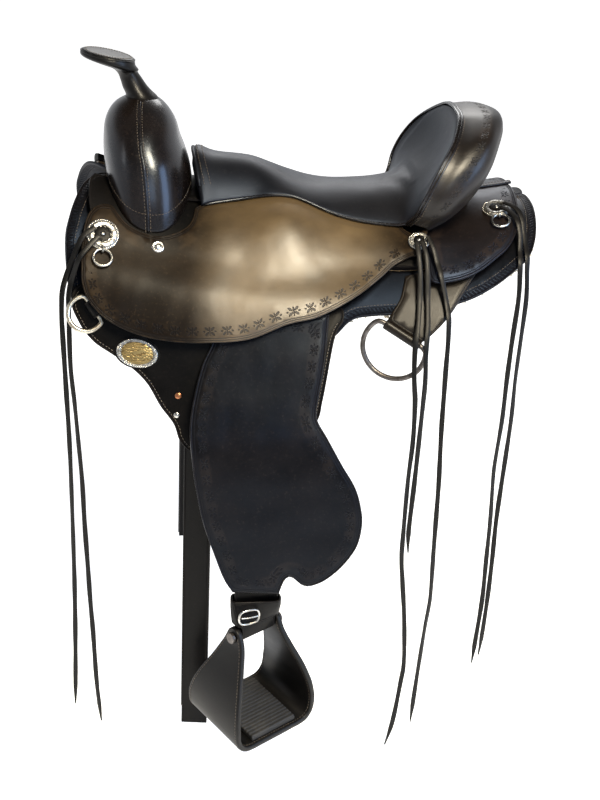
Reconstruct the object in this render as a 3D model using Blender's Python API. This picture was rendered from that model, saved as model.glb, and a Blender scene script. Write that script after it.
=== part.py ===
"""Western trail saddle.

Metres, +Z up. The horn points to -X and the near (left) side is -Y. The origin lies on the line
of the back that the saddle rests on, under the lowest point of the seat. Leather panels are drawn
flat as (x, s) outlines in millimetres, where s is the distance down the barrel from the ridge, and
are laid on the barrel at their own height in the stack of leathers.
"""

import math

import bmesh
import bpy
import numpy as np
from mathutils import Matrix, Vector
from mathutils.geometry import delaunay_2d_cdt

MM = 0.001

# Barrel of the back that every panel lies on
FRONT_END = -0.35
REAR_END = 0.28
FRONT_STEEPNESS = math.radians(80)
REAR_STEEPNESS = math.radians(90)
FRONT_ROUNDNESS = 0.16
REAR_ROUNDNESS = 0.33
WITHERS_RISE = 0.5
LOIN_RISE = 0.35
DEEPEST_S = 0.60
TABLE_STEP = 0.002

# Stack of leathers, each on top of the one before with a layer gap
LAYER_GAP = 0.8 * MM
FLEECE_GAP = 1.5 * MM
BAR_GAP = 1.8 * MM
JOCKEY_GAP = 1.2 * MM
FLEECE = 13 * MM
SKIRT = 4.5 * MM
BAR = 12 * MM
RIGGING = 3.5 * MM
HANGER = 4 * MM
JOCKEY = 4 * MM
SKIRT_LIFT = FLEECE + FLEECE_GAP
SKIRT_TOP = SKIRT_LIFT + SKIRT
BAR_LIFT = SKIRT_TOP + BAR_GAP
BAR_TOP = BAR_LIFT + BAR
JOCKEY_LIFT = BAR_TOP + JOCKEY_GAP
RIGGING_TOP = BAR_LIFT + RIGGING
HANGER_TOP = BAR_LIFT + HANGER
FLEECE_INSET = 8 * MM
TOUCH_GAP = 0.5 * MM

# Rise of the jockeys over the ground seat, and their flare over the stirrup leathers
SEAT_RISE = 18 * MM
SEAT_RISE_X = -0.070
SEAT_RISE_LENGTH = 0.055
SEAT_PAD_RISE = 5 * MM
FLARE = 9.5 * MM
SEAT_GAP = 1.4 * MM
WING_RISE = JOCKEY + 1.4 * MM

# Lattice of the panels, and the angle from which an edge is drawn sharp
LATTICE_X = 60 * MM
LATTICE_S = 27 * MM
EDGE_STEP = 22 * MM
SHARP_FROM = math.radians(40)

# Horn
HORN_LEATHER = 3 * MM
HORN_NECK_SIDES = 14

# Fork cover
COVER = 4.5 * MM
FORK_COLUMNS = 24
GULLET_HALF_WIDTH = 0.045
GULLET_CROWN = 8 * MM
FORK_FULLNESS = 2.4
FORK_TOP_FULLNESS = 2.0
FORK_FOOT = (-317 * MM, -197 * MM, 124 * MM)
FORK_SHOULDER_Z = 100 * MM
FORK_FOOT_STEPS = [(-318, -198, 121), (-319, -201, 115)]
FORK_LEVELS = [
    (100, -320, -206, 106), (118, -320, -213, 96), (138, -318, -219, 80), (153, -312, -227, 61),
    (164, -303, -236, 44), (171, -292, -245, 29), (173, -286, -249, 20),
]
BAR_SEAT = 0.6 * BAR

# Seat and cantle
SEAT_COLUMNS = 15
SEAT_SHELL = 12 * MM
CANTLE_BOARD = 20 * MM
CANTLE_LEATHER = 3.5 * MM
ROLL_LEATHER = 5 * MM
ROLL_SEAM_GAP = 2.0 * MM
ROLL_STEPS = 6

# Conchos: radius, place (x, s) and gap to the leather under them
CONCHO_SIDES = 14
CONCHO_CROWN = 4.5 * MM
CONCHOS = {
    "front": (21.5 * MM, -317 * MM, 128 * MM, 1.2 * MM),
    "mid": (14.5 * MM, 110 * MM, 112 * MM, 0.5 * MM),
    "rear": (19.5 * MM, 227 * MM, 66 * MM, 0.5 * MM),
}
EYE_WIRE = 1.3 * MM
EYE_RADIUS = 3.6 * MM

# Badge on the rigging
BADGE_HALF_LENGTH = 28 * MM
BADGE_HALF_HEIGHT = 19 * MM
BADGE_THICKNESS = 3 * MM
BADGE_PLACE = (-271 * MM, 262 * MM)

# Dees
DEE_STEPS = 15
FRONT_DEE_BAR = ((-341 * MM, 204 * MM), (-316 * MM, 232 * MM))
FRONT_DEE_WIRE = 3.2 * MM
FRONT_DEE_DEPTH = 36 * MM
KEEPER = 3 * MM
REAR_DEE_BAR = ((56 * MM, 203 * MM), (113 * MM, 244 * MM))
REAR_DEE_WIRE = 3.6 * MM
REAR_DEE_RADIUS = 46 * MM
WRAP_LEATHER = 3 * MM
RUNNING_GAP = 0.5 * MM

FRONT_DEE_HALF = 20 * MM
FRONT_DEE_CENTRE = 12 * MM
FRONT_DEE_LEAN = -6
KEEPER_LENGTH = 26 * MM
KEEPER_WIDTH = 24 * MM
REAR_DEE_HALF = 37 * MM
REAR_DEE_CENTRE = 24 * MM
WRAP_LENGTH = 56 * MM
WRAP_SIDES = 16
REAR_JOCKEY_TOP = JOCKEY_LIFT + JOCKEY

# Rings of the conchos
RING_RADIUS = 12 * MM
RING_WIRE = 1.7 * MM
RING_LEAN = {"front": -5, "rear": 8}
EYE_HEIGHT = 5.2 * MM

# Fender sheet
FENDER_X = -95 * MM
FENDER_TANGENT_S = 225 * MM
FENDER_SEAT_GAP = 0.35 * MM
FENDER = 4 * MM
STIRRUP_LEATHER = 3.2 * MM
STIRRUP_LEATHER_WIDTH = 60 * MM
FENDER_FLAT = 95 * MM
FENDER_BEND = 110 * MM
FENDER_HANG = math.radians(84)
FENDER_PIVOT_W = -22 * MM
FENDER_PIVOT_U = -2.4 * MM
LEATHER_X = -98 * MM
LEATHER_TOP_W = -46 * MM
LEATHER_STEP = 27 * MM
LEATHER_STEPS = 15
LEATHER_RETURN = 70 * MM
PLY_SPREAD = 0.4 * MM
LOOP_SHARE = 0.75
LOOP_STEPS = 8

# Stirrup, with heights measured from its bolt
BOLT = Vector((-106 * MM, -272 * MM, -515 * MM))
BOLT_RADIUS = 5 * MM
BOLT_SIDES = 12
BOLT_HEAD_RADIUS = 8 * MM
BOLT_HEAD = 4 * MM
BOLT_HEAD_GAP = 1.3 * MM
BORE_GAP = 0.3 * MM
BORE_REACH = 60 * MM
TWIST = math.radians(37)
TWIST_LOW = 6 * MM
TWIST_HIGH = 58 * MM
STIRRUP_WALL = 8 * MM
STIRRUP_STEP = 13 * MM
TREAD_TILT = math.tan(math.radians(9))
TREAD = 7 * MM
TREAD_RIBS = 7
TREAD_RIB = 1.6 * MM
TREAD_WIDTH = 80 * MM
TREAD_DEPTH = 98 * MM
HOBBLE = 3 * MM
HOBBLE_LOW = 16 * MM
HOBBLE_HIGH = 50 * MM
HOBBLE_HALF_WIDTH = 32.6 * MM
HOBBLE_HALF_THICKNESS = 10 * MM
HOBBLE_ROWS = 4
HOBBLE_SIDES = 16
HOBBLE_SQUARE = 0.2
HOBBLE_ROUND = 0.6
BUCKLE_HEIGHT = 32 * MM
BUCKLE_W = -17 * MM
BUCKLE_OUT = 18.5 * MM
BUCKLE_WIRE = 1.5 * MM
BUCKLE_PATH = [(-12 * MM, -9 * MM), (12 * MM, -9 * MM), (12 * MM, 9 * MM), (-12 * MM, 9 * MM)]

# Straps that hang from links on the inner face of the rigging
LATIGO_WIDTH = 38 * MM
LATIGO = 4.2 * MM
LATIGO_X = -188 * MM
LATIGO_DROP = 0.433
LATIGO_BACK_DROP = 0.473
BILLET_DROP = 0.393
LINK_WIRE = 3.5 * MM
LINK_HIGH_LIFT = BAR_LIFT - TOUCH_GAP - LINK_WIRE
LINK_LOW_LIFT = LINK_HIGH_LIFT - RUNNING_GAP - LATIGO
LINK_LOW_S = 368 * MM
LINK_HIGH_S = 345 * MM
LINK_HALF_WIDTH = LATIGO_WIDTH / 2 + TOUCH_GAP + LINK_WIRE
LINK_CORNER = 5 * MM

# Saddle strings
STRING_RADIUS = 3.3 * MM
STRING_STEP = 20 * MM
CORD_BEVEL = 2


def material(name, colour, roughness, metallic=0.0):
    made = bpy.data.materials.new(name)
    made.use_nodes = True
    shader = made.node_tree.nodes["Principled BSDF"]
    shader.inputs["Base Color"].default_value = (*colour, 1.0)
    shader.inputs["Roughness"].default_value = roughness
    shader.inputs["Metallic"].default_value = metallic
    return made


def smoothstep(low, high, value):
    t = min(max((value - low) / (high - low), 0.0), 1.0)
    return t * t * (3 - 2 * t)


# Barrel


def ridge_height(x):
    return (WITHERS_RISE if x < 0 else LOIN_RISE) * x * x


SECTIONS = {}


def section_table(x):
    """Distance, half width, height and slope down one cross-section of the barrel."""
    key = round(x, 5)
    if key not in SECTIONS:
        along = min(max((x - FRONT_END) / (REAR_END - FRONT_END), 0.0), 1.0)
        steepness = FRONT_STEEPNESS + (REAR_STEEPNESS - FRONT_STEEPNESS) * along
        roundness = FRONT_ROUNDNESS + (REAR_ROUNDNESS - FRONT_ROUNDNESS) * along
        s = np.arange(0, DEEPEST_S + TABLE_STEP, TABLE_STEP)
        slope = steepness * np.tanh(s / roundness)
        across, down = np.cos(slope), np.sin(slope)
        wide = np.concatenate([[0], np.cumsum((across[1:] + across[:-1]) / 2 * TABLE_STEP)])
        deep = np.concatenate([[0], np.cumsum((down[1:] + down[:-1]) / 2 * TABLE_STEP)])
        SECTIONS[key] = s, wide, ridge_height(x) - deep, slope
    return SECTIONS[key]


def barrel(x, s, lift=0.0):
    """Point on the near side at distance s from the ridge; a negative s is the off side."""
    table_s, wide, high, slopes = section_table(x)
    slope = np.interp(abs(s), table_s, slopes)
    y = np.interp(abs(s), table_s, wide) + lift * math.sin(slope)
    z = np.interp(abs(s), table_s, high) + lift * math.cos(slope)
    return Vector((x, -y if s >= 0 else y, z))


def barrel_along(x, s, lift=0.0):
    return (barrel(x + 2 * MM, s, lift) - barrel(x - 2 * MM, s, lift)).normalized()


def barrel_down(x, s):
    return (barrel(x, s + 2 * MM) - barrel(x, s - 2 * MM)).normalized()


def barrel_normal(x, s, lift=0.0):
    """Outward normal on the near side of the surface at a height over the barrel."""
    return barrel_down(x, s).cross(barrel_along(x, s, lift)).normalized()


def jockey_lift(x, s):
    """Height of the underside of the jockeys over the barrel."""
    s = abs(s)
    swell = math.exp(-(((x - SEAT_RISE_X) / SEAT_RISE_LENGTH) ** 2))
    padded = smoothstep(-0.205, -0.150, x) * (1 - smoothstep(0.13, 0.16, x))
    rise = SEAT_RISE * swell + SEAT_PAD_RISE * padded
    flare = FLARE * smoothstep(0.130, 0.190, s) * (1 - smoothstep(0.03, 0.10, x))
    wing = WING_RISE * smoothstep(0.085, 0.108, x)
    return JOCKEY_LIFT + rise * (1 - smoothstep(0.075, 0.165, s)) + flare + wing


def jockey_top(x, s):
    return jockey_lift(x, s) + JOCKEY


def jockey_top_height(x, y):
    """Height of the jockeys' top, carried on to the centre line, at a distance y from it."""
    places = [barrel(x, s, jockey_top(x, s)) for s in np.arange(0, 0.165, 0.005)]
    return float(np.interp(abs(y), [-p.y for p in places], [p.z for p in places]))


# Outlines


def catmull(p0, p1, p2, p3, t):
    square = 2 * p0 - 5 * p1 + 4 * p2 - p3
    cube = 3 * p1 - p0 - 3 * p2 + p3
    return 0.5 * (2 * p1 + (p2 - p0) * t + square * t * t + cube * t**3)


def smooth_run(points, step, closed=False):
    """Evenly spaced points on a smooth curve through the given ones."""
    points = [np.array(p, float) for p in points]
    count = len(points)
    dense = []
    for i in range(count if closed else count - 1):
        if closed:
            around = [points[(i + k) % count] for k in (-1, 0, 1, 2)]
        else:
            around = [points[max(i - 1, 0)], points[i], points[i + 1], points[min(i + 2, count - 1)]]
        dense += [catmull(*around, t) for t in np.linspace(0, 1, 12, endpoint=False)]
    dense.append(points[0] if closed else points[-1])
    dense = np.array(dense)
    length = np.concatenate([[0], np.cumsum(np.linalg.norm(np.diff(dense, axis=0), axis=1))])
    parts = max(int(round(length[-1] / step)), 2)
    marks = np.linspace(0, length[-1], parts + 1)
    run = np.stack([np.interp(marks, length, dense[:, k]) for k in range(dense.shape[1])], 1)
    return run[:-1] if closed else run


def length_of(points):
    return sum(float(np.linalg.norm(np.subtract(b, a))) for a, b in zip(points, points[1:]))


def outline(points, step=EDGE_STEP):
    """Closed outline in metres from millimetre points; a third value of 1 marks a corner."""
    corners = [i for i, p in enumerate(points) if len(p) > 2 and p[2]]
    flat = [(p[0] * MM, p[1] * MM) for p in points]
    if not corners:
        return [tuple(p) for p in smooth_run(flat, step, closed=True)]
    made = []
    for a, b in zip(corners, corners[1:] + [corners[0] + len(points)]):
        run = [flat[i % len(points)] for i in range(a, b + 1)]
        made += [tuple(p) for p in smooth_run(run, step)[:-1]]
    return made


def inset(points, distance):
    """The outline moved inwards."""
    ring = np.array(points)
    ahead = np.roll(ring, -1, axis=0) - np.roll(ring, 1, axis=0)
    normals = np.stack([-ahead[:, 1], ahead[:, 0]], 1) / np.linalg.norm(ahead, axis=1)[:, None]
    area = np.sum(ring[:, 0] * np.roll(ring[:, 1], -1) - np.roll(ring[:, 0], -1) * ring[:, 1])
    return [tuple(p) for p in ring + normals * distance * (1 if area > 0 else -1)]


def inside(point, ring):
    hit = False
    x, y = point
    for (x0, y0), (x1, y1) in zip(ring, ring[1:] + ring[:1]):
        if (y0 > y) != (y1 > y) and x < (x1 - x0) * (y - y0) / (y1 - y0) + x0:
            hit = not hit
    return hit


def edge_distance(point, ring):
    p = np.array(point)
    a = np.array(ring)
    b = np.roll(a, -1, axis=0)
    t = np.clip(np.sum((p - a) * (b - a), 1) / np.maximum(np.sum((b - a) ** 2, 1), 1e-12), 0, 1)
    return float(np.min(np.linalg.norm(a + (b - a) * t[:, None] - p, axis=1)))


def flat_mesh(ring, step_x, step_s):
    """Triangles that fill an outline, with lattice points inside it."""
    low = np.min(ring, axis=0)
    high = np.max(ring, axis=0)
    points = list(ring)
    for i in range(math.floor(low[0] / step_x), math.ceil(high[0] / step_x) + 1):
        for j in range(math.floor(low[1] / step_s), math.ceil(high[1] / step_s) + 1):
            p = (i * step_x, j * step_s)
            if inside(p, ring) and edge_distance(p, ring) > 0.4 * min(step_x, step_s):
                points.append(p)
    edges = [(i, (i + 1) % len(ring)) for i in range(len(ring))]
    found = delaunay_2d_cdt([Vector(p) for p in points], edges, [], 1, 1e-7)
    return [tuple(p) for p in found[0]], [tuple(f) for f in found[2]]


# Mesh building


def slab(ring, under, over, step_x=LATTICE_X, step_s=LATTICE_S):
    """Closed sheet between two mappings of an outline."""
    flat, triangles = flat_mesh(ring, step_x, step_s)
    count = len(flat)
    verts = [under(*p) for p in flat] + [over(*p) for p in flat]
    faces = [turned_over(f) for f in triangles] + [tuple(i + count for i in f) for f in triangles]
    used = {}
    for f in triangles:
        for a, b in zip(f, f[1:] + f[:1]):
            used[(a, b)] = True
    for a, b in used:
        if (b, a) not in used:
            faces.append((a, b, b + count, a + count))
    return verts, faces


def panel(ring, low, high, **lattice):
    """Leather panel on the barrel between two heights, each a number or a function of (x, s)."""
    low_at = low if callable(low) else lambda x, s: low
    high_at = high if callable(high) else lambda x, s: high
    return slab(
        ring,
        lambda x, s: barrel(x, s, low_at(x, s)),
        lambda x, s: barrel(x, s, high_at(x, s)),
        **lattice,
    )


def grid_normals(grid, closed):
    """Unit normals of a grid of points, rows by columns."""
    if closed:
        across = np.roll(grid, -1, axis=1) - np.roll(grid, 1, axis=1)
    else:
        across = np.gradient(grid, axis=1)
    along = np.gradient(grid, axis=0)
    normals = np.cross(along, across)
    return normals / np.linalg.norm(normals, axis=2)[:, :, None]


def shell(outer, inner, closed=False):
    """Closed body between two grids of the same size."""
    rows, columns = outer.shape[:2]
    verts = [Vector(p) for p in outer.reshape(-1, 3)] + [Vector(p) for p in inner.reshape(-1, 3)]
    count = rows * columns
    faces = []
    wide = columns if closed else columns - 1
    for i in range(rows - 1):
        for j in range(wide):
            k = (j + 1) % columns
            quad = (i * columns + j, i * columns + k, (i + 1) * columns + k, (i + 1) * columns + j)
            faces.append(quad)
            faces.append(tuple(q + count for q in turned_over(quad)))
    for j in range(wide):
        k = (j + 1) % columns
        faces.append((j + count, k + count, k, j))
        last = (rows - 1) * columns
        faces.append((last + j, last + k, last + k + count, last + j + count))
    if not closed:
        for i in range(rows - 1):
            a, b = i * columns, (i + 1) * columns
            faces.append((a, b, b + count, a + count))
            a, b = a + columns - 1, b + columns - 1
            faces.append((a + count, b + count, b, a))
    return verts, faces


def loft(rings, closed=False):
    """Closed body through rings of equal length, with flat ends unless it closes on itself."""
    count = len(rings[0])
    verts = [Vector(p) for ring in rings for p in ring]
    faces = []
    total = len(rings)
    for i in range(total if closed else total - 1):
        a, b = i * count, ((i + 1) % total) * count
        for j in range(count):
            k = (j + 1) % count
            faces.append((a + j, a + k, b + k, b + j))
    if not closed:
        faces.append(tuple(range(count))[::-1])
        faces.append(tuple(range((total - 1) * count, total * count)))
    return verts, faces


def ribbon(path, sides, ups, width, thickness):
    """Strap along a path, with its width direction and its face direction at each point."""
    rings = []
    for point, side, up in zip(path, sides, ups):
        half, thick = side * width / 2, up * thickness / 2
        near, far = point - half, point + half
        rings.append([near - thick, far - thick, far + thick, near + thick])
    verts, faces = loft(rings)
    top_side = 2
    for i in range(len(path) - 1):
        quad = faces[4 * i + top_side]
        faces[4 * i + top_side] = quad[1:] + quad[:1]
    return verts, faces


def turned(profile, origin, axis, sides):
    """Solid of revolution from (radius, height) points; a zero radius closes an end."""
    axis = Vector(axis).normalized()
    first = axis.orthogonal().normalized()
    second = axis.cross(first)
    verts, faces, rings = [], [], []
    for radius, height in profile:
        centre = Vector(origin) + axis * height
        if radius == 0:
            rings.append([len(verts)] * sides)
            verts.append(centre)
            continue
        rings.append(list(range(len(verts), len(verts) + sides)))
        for k in range(sides):
            turn = 2 * math.pi * k / sides
            verts.append(centre + (first * math.cos(turn) + second * math.sin(turn)) * radius)
    for low, high in zip(rings, rings[1:]):
        for k in range(sides):
            face = [low[k], low[(k + 1) % sides], high[(k + 1) % sides], high[k]]
            face = [v for i, v in enumerate(face) if v != face[i - 1]]
            faces.append(tuple(face))
    return verts, faces


def turned_over(face):
    """The face seen from its other side, with the same first corner."""
    return face[:1] + face[:0:-1]


def flip(vector):
    return Vector((vector.x, -vector.y, vector.z))


def mirrored(shape):
    verts, faces = shape
    return [flip(v) for v in verts], [turned_over(f) for f in faces]


def add(name, shape, look, pivot=Vector()):
    """Object from vertices and faces, with its origin at the pivot."""
    verts, faces = shape
    mesh = bpy.data.meshes.new(name)
    mesh.from_pydata([tuple(v - pivot) for v in verts], [], faces)
    work = bmesh.new()
    work.from_mesh(mesh)
    bmesh.ops.remove_doubles(work, verts=work.verts, dist=1e-6)
    bmesh.ops.recalc_face_normals(work, faces=work.faces)
    work.to_mesh(mesh)
    work.free()
    mesh.shade_smooth()
    mesh.set_sharp_from_angle(angle=SHARP_FROM)
    mesh.materials.append(look)
    obj = bpy.data.objects.new(name, mesh)
    obj.location = pivot
    bpy.context.scene.collection.objects.link(obj)
    return obj


def add_pair(stem, shape, look, pivot=Vector()):
    near = add("near_" + stem, shape, look, pivot)
    off = add("off_" + stem, mirrored(shape), look, flip(pivot))
    return near, off


def cord(name, points, radius, look):
    """Round cord along a path, with closed ends."""
    curve = bpy.data.curves.new(name, "CURVE")
    curve.dimensions = "3D"
    curve.bevel_depth = radius
    curve.bevel_resolution = CORD_BEVEL
    curve.use_fill_caps = True
    spline = curve.splines.new("POLY")
    spline.points.add(len(points) - 1)
    for place, point in zip(spline.points, points):
        place.co = (*point, 1.0)
    curve.materials.append(look)
    obj = bpy.data.objects.new(name, curve)
    bpy.context.scene.collection.objects.link(obj)
    return obj


def union(obj, tool):
    combine(obj, "UNION", tool)


def combine(obj, operation, tool):
    """Boolean with a hidden tool object."""
    tool.hide_render = True
    tool.display_type = "WIRE"
    cut = obj.modifiers.new(operation.title(), "BOOLEAN")
    cut.operation = operation
    cut.solver = "EXACT"
    cut.object = tool


# Tree: bars, fork and cantle


BAR_OUTLINE = [
    (-330, 45, 1), (-336, 62), (-331, 105), (-298, 146), (-238, 158), (-160, 138), (-60, 126), (20, 128),
    (100, 138), (175, 132), (222, 108), (233, 80), (222, 46, 1), (120, 44), (0, 44), (-180, 44),
]


def bar_shape():
    return panel(outline(BAR_OUTLINE), BAR_LIFT, BAR_TOP)


def fork_ring(x_front, x_rear, half_width, fullness=FORK_FULLNESS):
    """Plan outline of the fork at one level."""
    centre, half_length = (x_front + x_rear) / 2, (x_rear - x_front) / 2
    ring = []
    for k in range(FORK_COLUMNS):
        turn = 2 * math.pi * k / FORK_COLUMNS
        c, s = math.cos(turn), math.sin(turn)
        x = centre + half_length * math.copysign(abs(c) ** (2 / fullness), c)
        y = half_width * math.copysign(abs(s) ** (2 / fullness), s)
        ring.append((x, y))
    return ring


def fork_floor(x, y, lift):
    """Lower edge of the fork: on the bars at the sides, an arch over the gullet between them."""
    reach = max(abs(y), GULLET_HALF_WIDTH)
    places = [barrel(x, s, lift) for s in np.arange(0.02, 0.2, 0.005)]
    z = float(np.interp(reach, [-p.y for p in places], [p.z for p in places]))
    open_share = max(1 - (abs(y) / GULLET_HALF_WIDTH) ** 2, 0.0)
    return z + GULLET_CROWN * open_share


def fork_grid():
    """Outside of the fork cover, from its lower edge up to the horn."""
    rows = []
    foot = fork_ring(*FORK_FOOT)
    floor = [fork_floor(x, y, JOCKEY_LIFT) for x, y in foot]
    rows.append([(x, y, z) for (x, y), z in zip(foot, floor)])
    steps = len(FORK_FOOT_STEPS) + 1
    for k, (front, rear, half) in enumerate(FORK_FOOT_STEPS, 1):
        ring = fork_ring(front * MM, rear * MM, half * MM)
        rows.append([(x, y, z + (FORK_SHOULDER_Z - z) * k / steps) for (x, y), z in zip(ring, floor)])
    first, last = FORK_LEVELS[0][0], FORK_LEVELS[-1][0]
    for level, front, rear, half in FORK_LEVELS:
        share = (level - first) / (last - first)
        fullness = FORK_FULLNESS + (FORK_TOP_FULLNESS - FORK_FULLNESS) * share
        ring = fork_ring(front * MM, rear * MM, half * MM, fullness)
        rows.append([(x, y, level * MM) for x, y in ring])
    return np.array(rows)


def fork_shapes():
    """Leather cover and the wooden fork inside it."""
    outer = fork_grid()
    normals = grid_normals(outer, True)
    centre = outer.mean(axis=(0, 1))
    if np.sum(normals * (outer - centre)) < 0:
        normals = -normals
    normals[0, :, 2] = 0
    normals[0] /= np.linalg.norm(normals[0], axis=1)[:, None]
    inner = outer - normals * COVER
    inner[0, :, 2] = [fork_floor(x, y, JOCKEY_LIFT) for x, y, _ in inner[0]]
    outer[0, :, 2] = [fork_floor(x, y, JOCKEY_LIFT + TOUCH_GAP) for x, y, _ in outer[0]]
    wood = outer - normals * (COVER + LAYER_GAP)
    wood = wood[:-1]
    foot = wood[0]
    middle = foot.mean(axis=0)
    floor_rows = []
    for share in (1.0, 0.75, 0.5, 0.25):
        row = []
        for x, y, _ in foot:
            px, py = middle[0] + (x - middle[0]) * share, y * share
            row.append((px, py, fork_floor(px, py, BAR_LIFT + BAR_SEAT)))
        floor_rows.append(row)
    rings = [list(map(tuple, row)) for row in wood[::-1]][:-1] + floor_rows
    return shell(outer, inner, closed=True), loft(rings)


SEAT_MIDDLE = [
    (-197, 100), (-188, 105), (-165, 97), (-116, 92), (-84, 81), (-59, 70.5), (-32, 62.5), (0, 59.5),
    (36, 60.5), (66, 63), (92, 69), (114, 79), (132, 92), (147, 108), (158, 126), (165, 146), (169, 168),
]
SEAT_EDGE = [
    (-185, 80, 43), (-172, 76, 45.5), (-149, 71, 48.5), (-113, 67, 53), (-88, 69, 57), (-57, 70, 55.5),
    (-27, 76, 45), (3, 84, 34.5), (39, 93, 28.5), (71, 100, 27), (94, 108, 30), (104, 125, 47),
    (111, 136, 70), (122, 135, 95), (137, 124, 120), (153, 101, 141), (167, 55, 162),
]
SEAT_CROWN = 2.3
SEAT_RIM = 5 * MM
FIRST_DISH_ROW = 10
BOARD_GAP = 2 * MM
BOARD_SPREAD = 0.86
BOARD_COLUMNS = 13
BOARD_FOOT_SHIFT = 10 * MM
BOARD_FOOT_SPREAD = 0.76
BOARD_FOOT_LAST_X = 0.08
BOARD_TAPER = 0.6
BOARD_LEAN = 0.35


def seat_grid(spread=1.0, columns=SEAT_COLUMNS):
    """Top of the seat: rows from the fork back and up the cantle, columns across."""
    rows = []
    for (mx, mz), (ex, ey, ez) in zip(SEAT_MIDDLE, SEAT_EDGE):
        row = []
        for across in np.linspace(-spread, spread, columns):
            a = abs(across)
            x = mx + (ex - mx) * a * a
            z = mz + (ez - mz) * a**SEAT_CROWN
            row.append((x * MM, ey * across * MM, z * MM))
        rows.append(row)
    return np.array(rows)


def facing(grid, direction):
    """Normals of the grid turned to one side."""
    normals = grid_normals(grid, False)
    if np.sum(normals @ np.array(direction)) < 0:
        normals = -normals
    return normals


def seat_thickness(spread=1.0, columns=SEAT_COLUMNS):
    """Padding of the dish, thinner at its rim."""
    across = np.linspace(-spread, spread, columns)
    rows = []
    for i in range(len(SEAT_MIDDLE)):
        share = 1 - smoothstep(len(SEAT_MIDDLE) - 4, len(SEAT_MIDDLE) - 1, i)
        rows.append(SEAT_RIM + (SEAT_SHELL - SEAT_RIM) * share * (1 - across**2))
    return np.array(rows)[:, :, None]


def seat_faces():
    """Top and underside of the seat: it lies on the jockeys, and up the cantle board."""
    top = seat_grid()
    under = top - facing(top, (0, 0, 1)) * seat_thickness()
    for i in range(len(top)):
        share = smoothstep(FIRST_DISH_ROW - 2.5, FIRST_DISH_ROW + 0.6, i)
        for j in range(SEAT_COLUMNS):
            x, y = top[i, j, :2]
            flat = np.array((x, y * 0.985, jockey_top_height(x, y) + SEAT_GAP))
            under[i, j] = flat * (1 - share) + under[i, j] * share
    return top, under


def cantle_shapes():
    """Wooden cantle board under the dish, and the leather on its back."""
    top = seat_grid(BOARD_SPREAD, BOARD_COLUMNS)
    front = top - facing(top, (0, 0, 1)) * (seat_thickness(BOARD_SPREAD, BOARD_COLUMNS) + BOARD_GAP)
    front = front[FIRST_DISH_ROW + 1 : -1]
    low = front[0].copy()
    for j, (x, y, z) in enumerate(low):
        foot_x, foot_y = x - BOARD_FOOT_SHIFT, y * BOARD_FOOT_SPREAD
        surface = jockey_top_height(min(foot_x, BOARD_FOOT_LAST_X), foot_y)
        low[j] = (foot_x, foot_y, surface - JOCKEY - BAR_SEAT)
    front = np.concatenate([[low], front])
    thickness = np.linspace(CANTLE_BOARD, BOARD_TAPER * CANTLE_BOARD, len(front))[:, None]
    taper = 1 - BOARD_TAPER * (np.linspace(-1, 1, BOARD_COLUMNS)[None, :]) ** 2
    back = front.copy()
    back[:, :, 0] += thickness * taper
    back[1:, :, 2] -= (thickness * taper)[1:] * BOARD_LEAN
    leather_in = back[1:].copy()
    leather_in[:, :, 0] += LAYER_GAP
    for j, (x, y, z) in enumerate(leather_in[0]):
        leather_in[0, j, 2] = jockey_top_height(x, y) + SEAT_GAP
    leather_out = leather_in.copy()
    leather_out[:, :, 0] += CANTLE_LEATHER
    return shell(front, back), shell(leather_in[:, 1:-1], leather_out[:, 1:-1])


ROLL_STATIONS = [
    ((94, 108, 30), (108, 118, 29), (118, 122, 27), (124, 118, 22.5)),
    ((104, 125, 47), (124, 134, 48), (142, 134, 47), (150, 126, 42)),
    ((111, 136, 70), (138, 142, 73), (160, 138, 72), (172, 123, 62)),
    ((122, 135, 95), (152, 139, 100), (180, 132, 99), (192, 117, 87)),
    ((137, 124, 120), (170, 127, 125), (196, 120, 123), (206, 107, 109)),
    ((153, 101, 141), (186, 103, 148), (209, 97, 146), (218, 86, 130)),
    ((167, 55, 162), (202, 56, 170), (225, 52, 166), (231, 47, 148)),
    ((169, 20, 168), (207, 19, 175), (231, 18, 171), (236, 17, 154)),
]


def roll_shape():
    """Cheyenne roll: a leather band from the rim of the dish over to its free rear lip."""
    half = [[np.array(p, float) * MM for p in station] for station in ROLL_STATIONS]
    stations = half + [[p * (1, -1, 1) for p in station] for station in half[::-1]]
    outer = np.array([smooth_run(station, length_of(station) / ROLL_STEPS) for station in stations])
    normals = grid_normals(outer, False)
    if normals[len(outer) // 2, 1, 2] < 0:
        normals = -normals
    top, under = seat_faces()
    edge = top - under
    rim = [edge[i, -1] for i in range(FIRST_DISH_ROW, len(top))] + [edge[-1, SEAT_COLUMNS // 2 + 2]]
    for k, n in enumerate(rim):
        n = n / np.linalg.norm(n)
        normals[k, 0] = n
        normals[-1 - k, 0] = n * (1, -1, 1)
    away = np.cross(np.gradient(outer[:, 0], axis=0), normals[:, 0])
    away *= np.sign(np.sum(away * (outer[:, 1] - outer[:, 0]), axis=1))[:, None]
    away /= np.linalg.norm(away, axis=1)[:, None]
    inner = outer - normals * ROLL_LEATHER
    outer[:, 0] += away * ROLL_SEAM_GAP
    inner[:, 0] += away * ROLL_SEAM_GAP
    return shell(outer, inner)


# Horn


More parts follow.
